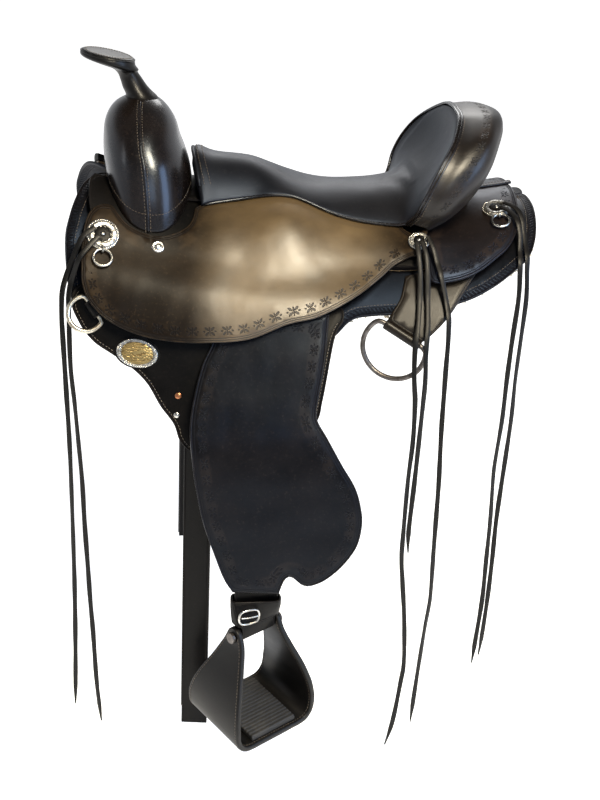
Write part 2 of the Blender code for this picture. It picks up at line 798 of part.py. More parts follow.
HORN_PROFILE = [
    (-268, 174, 21, 24), (-274, 183, 19.5, 20), (-279, 192, 17.5, 17.5), (-284, 201, 16.5, 16.5),
    (-291, 208, 19, 19), (-301, 213.5, 30, 27), (-311, 219, 36.5, 33.5), (-313, 223.5, 37.5, 34.5),
    (-312.5, 228, 36, 33),
]
HORN_ROOT = Vector((2 * MM, 0, -20 * MM))
HORN_ROOT_SHARE = 0.62
HORN_TILT = [0, 6, 9, 10, 10, 10, 10, 10, 10]
HORN_CROWN_SHARE = 0.55
HORN_CROWN = 1.2 * MM
HORN_CAP_GAP = 1.5 * MM
HORN_CORE_SHARE = 0.93


def horn_ring(level, grow):
    """One cross-section of the horn, leaning with its tilt."""
    x, z, half_long, half_wide = HORN_PROFILE[level]
    tilt = math.radians(HORN_TILT[level])
    along = Vector((math.cos(tilt), 0, -math.sin(tilt)))
    centre = Vector((x, 0, z)) * MM
    ring = []
    for k in range(HORN_NECK_SIDES):
        turn = 2 * math.pi * k / HORN_NECK_SIDES
        long, wide = (half_long * MM + grow) * math.cos(turn), (half_wide * MM + grow) * math.sin(turn)
        ring.append(centre + along * long + Vector((0, wide, 0)))
    return ring


def horn_shapes():
    """Leather over the horn, open at its foot, and the metal horn inside."""
    levels = range(len(HORN_PROFILE))
    rings = [horn_ring(k, 0) for k in levels]
    tilt = math.radians(HORN_TILT[-1])
    up = Vector((math.sin(tilt), 0, math.cos(tilt)))
    middle = centre_point(rings[-1])
    crown = [middle + (p - middle) * HORN_CROWN_SHARE + up * HORN_CROWN for p in rings[-1]]
    inner = [horn_ring(k, -HORN_LEATHER) for k in levels][:-1]
    inner[-1] = [p - up * HORN_CAP_GAP for p in inner[-1]]
    core = [horn_ring(k, -HORN_LEATHER - TOUCH_GAP) for k in levels][:-1]
    middle = centre_point(core[-1])
    top_drop = up * (HORN_CAP_GAP + LAYER_GAP)
    core[-1] = [middle.lerp(p, HORN_CORE_SHARE) - top_drop for p in core[-1]]
    foot = [centre_point(core[0]).lerp(p, HORN_ROOT_SHARE) for p in core[0]]
    core = [[p + HORN_ROOT for p in foot], foot] + core[1:]
    cover = loft(inner[::-1] + rings + [crown])
    return cover, loft(core)


def centre_point(points):
    return sum((Vector(p) for p in points), Vector()) / len(points)


# Panels: outlines in millimetres


SKIRT_OUTLINE = [
    (-312, 30, 1), (-334, 48), (-351, 74), (-362, 102), (-367, 136), (-366, 170), (-361, 205), (-349, 228),
    (-320, 240), (-250, 245), (-150, 243), (-60, 238), (-12, 223), (16, 200), (42, 195), (110, 195),
    (172, 188), (212, 174), (244, 155), (263, 140), (274, 120), (282, 90), (287, 49), (286, 12), (282, 1, 1),
    (165, 1, 1), (150, 34), (120, 40), (0, 40), (-200, 38),
]
JOCKEY_OUTLINE = [
    (-344, 172), (-343, 190), (-335, 209), (-316, 225), (-291, 234), (-259, 239), (-217, 239), (-176, 235),
    (-123, 227), (-72, 208), (-33, 200), (6, 184), (32, 170), (57, 152), (75, 138), (95, 130), (110, 129),
    (119, 120), (127, 92), (150, 72), (175, 54), (192, 42, 1), (184, 32, 1), (162, 48), (140, 65),
    (127, 82), (118, 96), (104, 100), (94, 90), (86, 78), (60, 68), (36, 64), (0, 56), (-28, 49),
    (-58, 42), (-88, 37), (-114, 39), (-148, 45), (-176, 54), (-194, 66, 1), (-198, 84), (-206, 96),
    (-222, 107), (-241, 114), (-262, 114), (-284, 108), (-297, 97), (-306, 88), (-321, 91), (-334, 103),
    (-341, 122), (-344, 148),
]
REAR_JOCKEY_OUTLINE = [
    (124, 163), (156, 166), (187, 159), (214, 144), (233, 130), (248, 106), (258, 62), (261, 22),
    (259, 0.6, 1), (190, 0.6, 1), (184, 26), (166, 45), (144, 62), (129, 80), (121, 98), (118, 118),
    (120, 134, 1),
]
RIGGING_OUTLINE = [
    (-345, 190), (-357, 206), (-357, 224), (-349, 239), (-341, 250), (-326, 262), (-304, 271), (-280, 282),
    (-258, 299), (-240, 326), (-222, 347), (-214, 368), (-200, 381), (-180, 387), (-150, 389), (-100, 384),
    (-60, 366), (-30, 330), (-22, 300), (-7, 224), (6, 199), (2, 182), (-30, 172), (-150, 170),
    (-280, 172), (-325, 178),
]
HANGER_OUTLINE = [
    (92, 146, 1), (84, 174), (73, 191), (65, 202.7, 1), (110.4, 235.5, 1), (122, 229), (150, 204),
    (188, 154), (206, 134, 1), (150, 138),
]
FENDER_OUTLINE = [
    (-163, 205, 1), (-172, 238), (-182, 262), (-190, 296), (-195, 331), (-195.5, 356), (-192, 389),
    (-184, 436), (-173, 483), (-157, 527), (-143, 562), (-130, 582, 1), (-66, 582, 1), (-60, 563),
    (-54, 556), (-47, 558),
    (-36, 567), (-24, 569), (-3, 559), (20, 536), (37, 507), (42, 476), (39, 451), (29, 421), (9, 390),
    (-12, 356), (-26, 334), (-28, 318), (-26, 300), (-21, 266), (-18, 231), (-16, 190, 1), (-90, 196),
]


# Fender sheet: flat at its top, then bent down


def fender_frame():
    """Origin and directions of the flat top of the fender sheet on the near side."""
    lift = RIGGING_TOP + FENDER_SEAT_GAP
    front = barrel(-170 * MM, FENDER_TANGENT_S, lift)
    rear = barrel(-20 * MM, FENDER_TANGENT_S, lift)
    along = (rear - front).normalized()
    origin = front + along * ((FENDER_X - front.x) / along.x)
    down = barrel(FENDER_X, FENDER_TANGENT_S + 0.01) - barrel(FENDER_X, FENDER_TANGENT_S - 0.01)
    down = (down - along * down.dot(along)).normalized()
    out = along.cross(down)
    if out.y > 0:
        out = -out
    return origin, along, down, out


def fender_point(x, w, lift):
    """Point of the sheet: x along the saddle, w down the sheet from its tangent line."""
    origin, along, down, out = fender_frame()
    full_bend = FENDER_HANG - math.asin(-down.z)
    steps = 24
    place = Vector(origin)
    bend = 0.0
    if w <= FENDER_FLAT:
        place += down * w
    else:
        place += down * FENDER_FLAT
        piece = (w - FENDER_FLAT) / steps
        for k in range(steps):
            middle = (k + 0.5) * piece
            bend = full_bend * smoothstep(0, FENDER_BEND, middle)
            place += (down * math.cos(bend) - out * math.sin(bend)) * piece
        bend = full_bend * smoothstep(0, FENDER_BEND, w - FENDER_FLAT)
    normal = out * math.cos(bend) + down * math.sin(bend)
    return place + along * ((x - FENDER_X) / along.x) + normal * lift


def fender_shape():
    low = STIRRUP_LEATHER + LAYER_GAP
    ring = outline(FENDER_OUTLINE)
    start = FENDER_TANGENT_S
    return slab(
        ring,
        lambda x, s: fender_point(x, s - start, low),
        lambda x, s: fender_point(x, s - start, low + FENDER),
        step_x=48 * MM,
        step_s=30 * MM,
    )


def stirrup_leather_shape():
    """Leather strap behind the fender that turns, goes round the stirrup bolt and comes back up."""
    path, sides, ups = [], [], []
    lift = STIRRUP_LEATHER / 2
    along = fender_frame()[1]
    steps = [LEATHER_TOP_W + k * LEATHER_STEP for k in range(LEATHER_STEPS)]
    for w in steps:
        here, ahead = fender_point(LEATHER_X, w, lift), fender_point(LEATHER_X, w + 1 * MM, lift)
        path.append(here)
        sides.append(along)
        ups.append(along.cross(ahead - here).normalized() * -1)
    loop = BOLT_RADIUS + RUNNING_GAP + STIRRUP_LEATHER / 2
    flat = STIRRUP_LEATHER / 2 + LAYER_GAP
    upright = Vector((0, 0, 1))
    plies = [(34, flat + PLY_SPREAD), (22, loop * LOOP_SHARE), (10, loop)]
    run = [(height * MM, out, 0.0) for height, out in [(44, flat), *plies]]
    for turn in range(1, LOOP_STEPS):
        angle = math.pi * turn / LOOP_STEPS
        run.append((-loop * math.sin(angle), loop * math.cos(angle), angle))
    run += [(height * MM, -out, math.pi) for height, out in plies[::-1]]
    run.append((LEATHER_RETURN, -flat, math.pi))
    for height, out, angle in run:
        wide, deep = stirrup_axes(height)
        path.append(BOLT + deep * out + upright * height)
        sides.append(wide)
        ups.append(deep * math.cos(angle) - upright * math.sin(angle))
    return ribbon(path, sides, ups, STIRRUP_LEATHER_WIDTH, STIRRUP_LEATHER)


def stirrup_axes(height):
    """Width and depth directions at a height over the bolt: the leathers turn the stirrup outwards."""
    turn = TWIST * (1 - smoothstep(TWIST_LOW, TWIST_HIGH, height))
    wide = Vector((math.cos(turn), math.sin(turn), 0))
    return wide, Vector((math.sin(turn), -math.cos(turn), 0))


def stirrup_place(w, d, height):
    wide, deep = stirrup_axes(min(height, 0.0))
    return BOLT + wide * w + deep * d + Vector((0, 0, height))


# half outline of the frame as (width, height), and its depth as (height, depth)
STIRRUP_SIDE = [
    (36, 13), (36, 0), (38, -14), (47, -38), (59, -66), (67, -90), (70, -110), (68, -130), (58, -142),
    (44, -145), (30, -145),
]
STIRRUP_DEPTHS = [
    (13, 12), (9, 22), (0, 30), (-14, 42), (-38, 62), (-66, 86), (-90, 102), (-110, 110), (-145, 112),
]


def stirrup_shape():
    """Bent stirrup frame, open at its top."""
    side = smooth_run([(w * MM, z * MM) for w, z in STIRRUP_SIDE], STIRRUP_STEP)
    half = [tuple(p) for p in side]
    run = half + [(0.0, half[-1][1])] + [(-w, z) for w, z in half[::-1]]
    heights = [z * MM for z, _ in STIRRUP_DEPTHS][::-1]
    depths = [d * MM for _, d in STIRRUP_DEPTHS][::-1]
    rings = []
    for k, (w, z) in enumerate(run):
        before, after = run[max(k - 1, 0)], run[min(k + 1, len(run) - 1)]
        lean = math.hypot(after[0] - before[0], after[1] - before[1])
        out = ((before[1] - after[1]) / lean, (after[0] - before[0]) / lean)
        half_depth = float(np.interp(z, heights, depths)) / 2
        half_wall = STIRRUP_WALL / 2
        ring = []
        for d, o in ((-1, -1), (1, -1), (1, 1), (-1, 1)):
            drop = TREAD_TILT * d * half_depth * smoothstep(0.02, 0.13, -z)
            side_w, side_z = w + out[0] * o * half_wall, z + out[1] * o * half_wall
            ring.append(stirrup_place(side_w, d * half_depth, side_z - drop))
        rings.append(ring)
    return loft(rings)


def tread_shape():
    """Rubber tread on the stirrup's floor, with ribs across it."""
    floor = STIRRUP_SIDE[-1][1] * MM + STIRRUP_WALL / 2 + TOUCH_GAP
    profile = [(-TREAD_DEPTH / 2, 0.0)]
    pitch = TREAD_DEPTH / TREAD_RIBS
    for k in range(TREAD_RIBS):
        start = -TREAD_DEPTH / 2 + k * pitch
        profile += [(start + 0.04 * pitch, TREAD), (start + 0.66 * pitch, TREAD)]
        if k < TREAD_RIBS - 1:
            profile += [(start + 0.70 * pitch, TREAD - TREAD_RIB), (start + pitch, TREAD - TREAD_RIB)]
    profile.append((TREAD_DEPTH / 2, 0.0))
    rings = []
    for w in (-TREAD_WIDTH / 2, TREAD_WIDTH / 2):
        rings.append([stirrup_place(w, d, floor + up - TREAD_TILT * d) for d, up in profile])
    return loft(rings)


def hobble_shape():
    """Strap round the two plies of the stirrup leather."""
    outer_rows, inner_rows = [], []
    for height in np.linspace(HOBBLE_LOW, HOBBLE_HIGH, HOBBLE_ROWS):
        wide, deep = stirrup_axes(height)
        outer, inner = [], []
        for k in range(HOBBLE_SIDES):
            turn = 2 * math.pi * k / HOBBLE_SIDES
            c, s = math.cos(turn), math.sin(turn)
            w = math.copysign(min(abs(c) ** HOBBLE_SQUARE, 1.0), c) * HOBBLE_HALF_WIDTH
            d = math.copysign(min(abs(s) ** HOBBLE_ROUND, 1.0), s) * HOBBLE_HALF_THICKNESS
            middle = BOLT + Vector((0, 0, height))
            inner.append(middle + wide * w + deep * d)
            over = HOBBLE * math.copysign(abs(c) ** HOBBLE_ROUND, c)
            outer.append(middle + wide * (w + over) + deep * (d + HOBBLE * s))
        outer_rows.append(outer)
        inner_rows.append(inner)
    return shell(np.array(outer_rows), np.array(inner_rows), closed=True)


def planar_tube(points, centre, right, up, radius, sides=6):
    """Closed round wire from (right, up) points in a plane."""
    normal = right.cross(up).normalized()
    count = len(points)
    rings = []
    for k, (a, b) in enumerate(points):
        ahead = np.subtract(points[(k + 1) % count], points[k - 1])
        ahead /= np.linalg.norm(ahead)
        out = right * ahead[1] - up * ahead[0]
        middle = centre + right * a + up * b
        rings.append([
            middle + (out * math.cos(turn) + normal * math.sin(turn)) * radius
            for turn in [2 * math.pi * j / sides for j in range(sides)]
        ])
    return loft(rings, closed=True)


def circle(radius, count, centre=(0.0, 0.0)):
    turns = [2 * math.pi * k / count for k in range(count)]
    return [(centre[0] + radius * math.cos(t), centre[1] + radius * math.sin(t)) for t in turns]


def dee_path(half_bar, depth, radius):
    """D shape: a straight bar at 0 and an arc below it, in (along, down)."""
    start = math.atan2(-depth, half_bar)
    turns = np.linspace(start + 0.12, math.pi - start - 0.12, DEE_STEPS)
    arc = [(radius * math.cos(t), depth + radius * math.sin(t)) for t in turns]
    bar = [(-half_bar * 0.86, 0.0), (-half_bar * 0.4, 0.0), (half_bar * 0.4, 0.0), (half_bar * 0.86, 0.0)]
    return bar + arc


def frame_on_barrel(a, b, lift):
    """Middle, direction and outward normal of a bar that lies between two places of the barrel."""
    start, end = barrel(*a, lift), barrel(*b, lift)
    middle = (start + end) / 2
    along = (end - start).normalized()
    normal = barrel_normal((a[0] + b[0]) / 2, (a[1] + b[1]) / 2)
    normal = (normal - along * normal.dot(along)).normalized()
    return middle, along, normal


def front_dee_frame():
    lift = RIGGING_TOP + LAYER_GAP + KEEPER + RUNNING_GAP + FRONT_DEE_WIRE
    middle, along, normal = frame_on_barrel(*FRONT_DEE_BAR, lift)
    down = along.cross(normal)
    if down.z > 0:
        down = -down
    return middle, along, normal, down


def front_dee_shape():
    middle, along, normal, down = front_dee_frame()
    lean = math.radians(FRONT_DEE_LEAN)
    hang = down * math.cos(lean) - normal * math.sin(lean)
    path = dee_path(FRONT_DEE_HALF, FRONT_DEE_CENTRE, math.hypot(FRONT_DEE_HALF, FRONT_DEE_CENTRE))
    return planar_tube(path, middle, along, hang, FRONT_DEE_WIRE)


def keeper_shape():
    """Folded strap that holds the bar of the front dee."""
    middle, along, normal, down = front_dee_frame()
    reach = FRONT_DEE_WIRE + RUNNING_GAP + KEEPER / 2
    places = [(-KEEPER_LENGTH, -reach), (-KEEPER_LENGTH / 2, -reach)]
    places += [(reach * math.sin(t), -reach * math.cos(t)) for t in np.linspace(0, math.pi, 9)]
    places += [(-KEEPER_LENGTH / 2, reach), (-KEEPER_LENGTH, reach)]
    ups = []
    for k, place in enumerate(places):
        ahead = np.subtract(places[min(k + 1, len(places) - 1)], places[max(k - 1, 0)])
        ups.append(down * ahead[1] - normal * ahead[0])
    path = [middle + down * a + normal * b for a, b in places]
    ups = [u.normalized() for u in ups]
    return ribbon(path, [along] * len(path), ups, KEEPER_WIDTH, KEEPER)


def rear_dee_frame():
    middle, along, _ = frame_on_barrel(*REAR_DEE_BAR, BAR_LIFT + HANGER / 2)
    hang = Vector((0, 0, -1))
    hang = (hang - along * hang.dot(along)).normalized()
    return middle, along, hang


def rear_dee_shape():
    middle, along, hang = rear_dee_frame()
    path = dee_path(REAR_DEE_HALF, REAR_DEE_CENTRE, math.hypot(REAR_DEE_HALF, REAR_DEE_CENTRE))
    return planar_tube(path, middle, along, hang, REAR_DEE_WIRE)


def wrap_shape():
    """Leather tube round the bar of the rear dee."""
    middle, along, _ = rear_dee_frame()
    hole = REAR_DEE_WIRE + RUNNING_GAP
    first = along.orthogonal().normalized()
    second = along.cross(first)
    rows = []
    for radius in (hole + WRAP_LEATHER, hole):
        ends = []
        for end in (-WRAP_LENGTH / 2, WRAP_LENGTH / 2):
            ring = []
            for k in range(WRAP_SIDES):
                turn = 2 * math.pi * k / WRAP_SIDES
                out = first * math.cos(turn) + second * math.sin(turn)
                ring.append(middle + along * end + out * radius)
            ends.append(ring)
        rows.append(np.array(ends))
    return shell(rows[0], rows[1], closed=True)


def concho_frame(place, lift_at):
    _, x, s, gap = place
    near_places = [(x, s), (x + 5 * MM, s), (x - 5 * MM, s)]
    a, b, c = (barrel(*near, lift_at(*near)) for near in near_places)
    lower = barrel(x, s + 5 * MM, lift_at(x, s + 5 * MM))
    normal = (lower - a).cross(b - c).normalized()
    return a + normal * gap, normal


def concho_shape(place, lift_at):
    """Domed disc with a ridge round its sunk middle."""
    radius = place[0]
    origin, normal = concho_frame(place, lift_at)
    crown = CONCHO_CROWN
    profile = [
        (0, 0), (radius - 1 * MM, 0), (radius, 1 * MM), (radius - 1.5 * MM, 0.75 * crown),
        (0.74 * radius, crown), (0.52 * radius, 0.85 * crown), (0.46 * radius, 0.35 * crown),
        (2.4 * MM, 0.35 * crown), (2 * MM, 0.62 * crown), (0, 0.72 * crown),
    ]
    return turned(profile, origin, normal, CONCHO_SIDES)


def ring_frame(which, lift_at):
    """Eye centre under the concho, and the ring's directions lying on the leather."""
    radius, x, s, _ = CONCHOS[which]
    origin, normal = concho_frame(CONCHOS[which], lift_at)
    down = barrel_down(x, s)
    down = (down - normal * down.dot(normal)).normalized()
    eye = origin + down * (radius + 0.8 * MM) + normal * EYE_HEIGHT
    lean = math.radians(RING_LEAN[which])
    return eye, down * math.cos(lean) - normal * math.sin(lean), normal, down


def ring_axis(which, lift_at):
    _, hang, normal, _ = ring_frame(which, lift_at)
    return hang.cross(normal).normalized()


def concho_ring_shape(which, lift_at):
    eye, hang, _, _ = ring_frame(which, lift_at)
    across = ring_axis(which, lift_at)
    return planar_tube(circle(RING_RADIUS, 16), eye + hang * RING_RADIUS, across, hang, RING_WIRE)


def eye_shape(which, lift_at):
    eye, _, normal, down = ring_frame(which, lift_at)
    return planar_tube(circle(EYE_RADIUS, 10), eye, down, normal, EYE_WIRE)


def badge_shape():
    """Plain domed oval on the rigging."""
    x, s = BADGE_PLACE
    origin, normal = barrel(x, s, RIGGING_TOP + LAYER_GAP), barrel_normal(x, s)
    along = barrel_along(x, s)
    down = normal.cross(along)
    levels = [(1.0, 0.0), (1.0, 1.6), (0.94, 2.8), (0.84, 2.8), (0.80, 2.0), (0.5, 2.9)]
    rings = []
    for share, height in levels:
        ring = []
        for k in range(24):
            turn = 2 * math.pi * k / 24
            a, b = BADGE_HALF_LENGTH * share * math.cos(turn), BADGE_HALF_HEIGHT * share * math.sin(turn)
            ring.append(origin + along * a + down * b + normal * height * MM)
        rings.append(ring)
    return loft(rings)


def latigo_frame():
    """Middle of the lower bar that the hanging strap goes round."""
    return barrel(LATIGO_X, LINK_LOW_S, LINK_LOW_LIFT)


def latigo_width_direction():
    """Level direction in the surface of the rigging."""
    along = Vector((0, 0, 1)).cross(barrel_normal(LATIGO_X, LINK_LOW_S, LINK_LOW_LIFT))
    return along.normalized() * (1 if along.x > 0 else -1)


def link_shape():
    """Rectangular link inside the rigging, its lower bar leaning in for the strap."""
    low, high = latigo_frame(), barrel(LATIGO_X, LINK_HIGH_S, LINK_HIGH_LIFT)
    along = latigo_width_direction()
    middle, hang = (low + high) / 2, (low - high).normalized()
    half = (low - high).length / 2
    wide, corner = LINK_HALF_WIDTH, LINK_CORNER
    path = []
    for cx, cy, start in ((1, 1, 0), (-1, 1, 90), (-1, -1, 180), (1, -1, 270)):
        for k in range(3):
            turn = math.radians(start + 45 * k)
            across = cx * (wide - corner) + corner * math.cos(turn)
            path.append((across, cy * (half - corner) + corner * math.sin(turn)))
    return planar_tube(path, middle, along, hang, LINK_WIRE)


def latigo_shape(drop, back_drop):
    """Strap folded over the link, both ends hanging."""
    centre = latigo_frame()
    along = latigo_width_direction()
    out = along.cross(Vector((0, 0, 1)))
    reach = LINK_WIRE + RUNNING_GAP + LATIGO / 2
    places = [(reach, -drop * share) for share in (1.0, 0.75, 0.5, 0.25)]
    places += [(reach * math.cos(t), reach * math.sin(t)) for t in np.linspace(0, math.pi, 9)]
    places += [(-reach, -back_drop * share) for share in (0.25, 0.5, 0.75, 1.0)]
    path, ups = [], []
    for k, (away, z) in enumerate(places):
        ahead = np.subtract(places[min(k + 1, len(places) - 1)], places[max(k - 1, 0)])
        ahead = ahead / np.linalg.norm(ahead)
        path.append(centre + out * away + Vector((0, 0, z)))
        ups.append(out * ahead[1] - Vector((0, 0, ahead[0])))
    return ribbon(path, [along] * len(path), ups, LATIGO_WIDTH, LATIGO)


def lace_route(lying, hanging):
    """Route of a lace: (x, s, height over the jockey's underside), then its hanging points."""
    points = [barrel(x * MM, s * MM, JOCKEY_LIFT + high * MM) for x, s, high in lying]
    points += [Vector((x * MM, y * MM, z * MM)) for x, y, z in hanging]
    return [Vector(p) for p in smooth_run([tuple(p) for p in points], STRING_STEP)]


STRINGS = {
    "string_front_a": (
        [(-326, 124, 13.8), (-337, 131, 12.6), (-347, 146, 10.8), (-359, 172, -4), (-367, 195, -11),
         (-370, 212, -11)],
        [(-371, -172, -86), (-370, -174, -119), (-367, -174, -207), (-365, -174, -267), (-364, -174, -329),
         (-363, -174, -459), (-363, -174, -527), (-364, -174, -614), (-366, -174, -713)],
    ),
    "string_front_b": (
        [(-322, 134, 16), (-332, 145, 17), (-341, 157, 16), (-349, 168, 14), (-354, 182, 1),
         (-359, 196, -8), (-361.5, 212, -9.5), (-361, 226, -8)],
        [(-361, -180, -110), (-360, -182, -160), (-356, -184, -207), (-352, -184, -267), (-348, -184, -329),
         (-346, -184, -393), (-343, -184, -459), (-340, -184, -527), (-337, -184, -579), (-333, -184, -668),
         (-327, -184, -738)],
    ),
    "string_mid_a": (
        [(105, 118, 21.2), (106, 128, 20.6), (107, 141, 16.4), (108, 158, 9.5), (107, 184, 0.5),
         (104, 212, 1), (101, 228, 2)],
        [(99, -222, -110), (100, -228, -150), (104, -228, -183), (106, -228, -244), (104, -228, -306),
         (104, -228, -402), (105, -228, -435), (109, -228, -469), (117, -228, -537), (122, -228, -608),
         (120, -228, -644), (113, -228, -717), (104, -228, -760)],
    ),
    "string_mid_b": (
        [(113, 119, 21.2), (116, 128, 20.6), (117, 141, 16.4), (118, 158, 9.5), (118, 184, 0),
         (117, 210, 0), (116, 230, 0)],
        [(114, -222, -110), (115, -230, -150), (115, -230, -183), (114, -230, -244), (113, -230, -306),
         (111, -230, -386), (113, -230, -420)],
    ),
    "string_mid_c": (
        [(120.5, 112, 21.8), (126, 124, 20.2), (131, 140, 12.6), (136, 162, 11), (142, 186, 0.5),
         (144, 203, 0)],
        [(145, -206, -75), (145, -214, -104), (145, -216, -140), (146, -216, -185), (147, -216, -230),
         (149, -216, -276), (151, -216, -323), (153, -216, -421), (155, -216, -505), (152, -216, -548),
         (147, -216, -637), (143, -216, -728)],
    ),
    "string_rear_a": (
        [(231, 72, 13), (240, 82, 13), (246, 93, 12), (249, 105, 10), (251, 122, -1), (249, 136, -7),
         (248, 150, -7)],
        [(248, -160, -23), (249, -164, -59), (247, -164, -118), (246, -164, -179), (246, -164, -241),
         (243, -164, -305), (243, -164, -337), (246, -164, -404), (247, -164, -472), (248, -164, -543),
         (245, -164, -615), (243, -164, -658)],
    ),
    "string_rear_b": (
        [(236, 64, 13), (246, 72, 13), (254, 84, 9.5), (258, 98, 4), (259, 114, -6), (259, 130, -8.4),
         (259, 142, -8.4)],
        [(259, -155, -23), (261, -160, -59), (260, -161, -118), (259, -161, -179), (260, -161, -241),
         (258, -161, -321), (256, -161, -404), (257, -161, -473), (257, -161, -543), (255, -161, -615),
         (253, -161, -645)],
    ),
}


def build():
    for old in list(bpy.data.objects):
        bpy.data.objects.remove(old, do_unlink=True)
    leather = material("dark_brown_leather", (0.030, 0.018, 0.012), 0.32)
    seat_leather = material("seat_leather", (0.035, 0.033, 0.034), 0.45)
    black_leather = material("black_leather", (0.012, 0.011, 0.012), 0.40)
    rawhide = material("rawhide", (0.55, 0.42, 0.26), 0.55)
    fleece = material("fleece", (0.78, 0.72, 0.60), 0.95)
    silver = material("silver", (0.80, 0.80, 0.78), 0.22, 1.0)
    steel = material("steel", (0.45, 0.45, 0.46), 0.4, 1.0)
    rubber = material("tread_rubber", (0.03, 0.03, 0.032), 0.7)

    cover, wood = fork_shapes()
    horn_leather, horn_metal = horn_shapes()
    board, cantle_leather = cantle_shapes()
    tree = add("tree", wood, rawhide)
    union(tree, add("bar_near", bar_shape(), rawhide))
    union(tree, add("bar_off", mirrored(bar_shape()), rawhide))
    union(tree, add("cantle_board", board, rawhide))
    union(tree, add("horn_core", horn_metal, steel))
    add("fork_cover", cover, leather)
    add("horn_cover", horn_leather, leather)
    add("seat", shell(*seat_faces()), seat_leather)
    add("cantle_roll", roll_shape(), leather)
    add("cantle_back", cantle_leather, leather)

    skirt_ring = outline(SKIRT_OUTLINE)
    add_pair("fleece", panel(inset(skirt_ring, FLEECE_INSET), 0.0, FLEECE), fleece)
    add_pair("skirt", panel(skirt_ring, SKIRT_LIFT, SKIRT_TOP), leather)
    add_pair("rigging", panel(outline(RIGGING_OUTLINE), BAR_LIFT, RIGGING_TOP), black_leather)
    add_pair("rigging_link", link_shape(), steel)
    add_pair("seat_jockey", panel(outline(JOCKEY_OUTLINE), jockey_lift, jockey_top), leather)
    add_pair("rear_jockey", panel(outline(REAR_JOCKEY_OUTLINE), JOCKEY_LIFT, REAR_JOCKEY_TOP), leather)
    hangers = add_pair("rear_dee_hanger", panel(outline(HANGER_OUTLINE), BAR_LIFT, HANGER_TOP), leather)
    wraps = add_pair("wrap_tool", wrap_shape(), leather)
    for hanger, wrap in zip(hangers, wraps):
        union(hanger, wrap)

    middle, _, _, _ = front_dee_frame()
    add_pair("front_dee_keeper", keeper_shape(), black_leather)
    add_pair("front_dee", front_dee_shape(), silver, middle)
    add_pair("rear_dee", rear_dee_shape(), steel, rear_dee_frame()[0])
    for which, place in CONCHOS.items():
        lift_at = (lambda x, s: REAR_JOCKEY_TOP) if which == "rear" else jockey_top
        conchos = add_pair(which + "_concho", concho_shape(place, lift_at), silver)
        if which == "mid":
            continue
        eyes = add_pair(which + "_eye_tool", eye_shape(which, lift_at), silver)
        for concho, eye in zip(conchos, eyes):
            union(concho, eye)
        add_pair(which + "_ring", concho_ring_shape(which, lift_at), silver, ring_frame(which, lift_at)[0])
    add("badge", badge_shape(), silver)

    origin, along, down, _ = fender_frame()
    pivot = origin + along * FENDER_PIVOT_U + down * FENDER_PIVOT_W
    add_pair("fender", fender_shape(), leather, pivot)
    add_pair("stirrup_leather", stirrup_leather_shape(), black_leather, pivot)
    add_pair("hobble_strap", hobble_shape(), leather, pivot)
    wide, deep = stirrup_axes(BUCKLE_HEIGHT)
    buckle = BOLT + wide * BUCKLE_W + deep * BUCKLE_OUT + Vector((0, 0, BUCKLE_HEIGHT))
    frame = planar_tube(BUCKLE_PATH, buckle, wide, Vector((0, 0, 1)), BUCKLE_WIRE)
    add_pair("hobble_buckle", frame, silver, pivot)
    wide, _ = stirrup_axes(0.0)
    head = STIRRUP_SIDE[0][0] * MM + STIRRUP_WALL / 2 + BOLT_HEAD_GAP
    shaft = [
        (0, -head - BOLT_HEAD), (BOLT_HEAD_RADIUS, -head - BOLT_HEAD), (BOLT_HEAD_RADIUS, -head),
        (BOLT_RADIUS, -head), (BOLT_RADIUS, head), (BOLT_HEAD_RADIUS, head),
        (BOLT_HEAD_RADIUS, head + BOLT_HEAD), (0, head + BOLT_HEAD),
    ]
    add_pair("stirrup_bolt", turned(shaft, BOLT, wide, BOLT_SIDES), steel, BOLT)
    hole = BOLT_RADIUS + BORE_GAP
    bore = [(0, -BORE_REACH), (hole, -BORE_REACH), (hole, BORE_REACH), (0, BORE_REACH)]
    frames = add_pair("stirrup", stirrup_shape(), black_leather, BOLT)
    bores = add_pair("bolt_bore_tool", turned(bore, BOLT, wide, BOLT_SIDES), steel, BOLT)
    for side, bored in zip(frames, bores):
        combine(side, "DIFFERENCE", bored)
    add_pair("stirrup_tread", tread_shape(), rubber, BOLT)

    add("near_latigo", latigo_shape(LATIGO_DROP, LATIGO_BACK_DROP), black_leather, latigo_frame())
    billet = mirrored(latigo_shape(BILLET_DROP, BILLET_DROP))
    add("off_billet", billet, black_leather, flip(latigo_frame()))
    for name, (lying, hanging) in STRINGS.items():
        cord("near_" + name, lace_route(lying, hanging), STRING_RADIUS, leather)


build()
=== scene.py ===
import math

import bmesh
import bpy
import numpy as np
from mathutils import Matrix, Vector
from mathutils.geometry import delaunay_2d_cdt


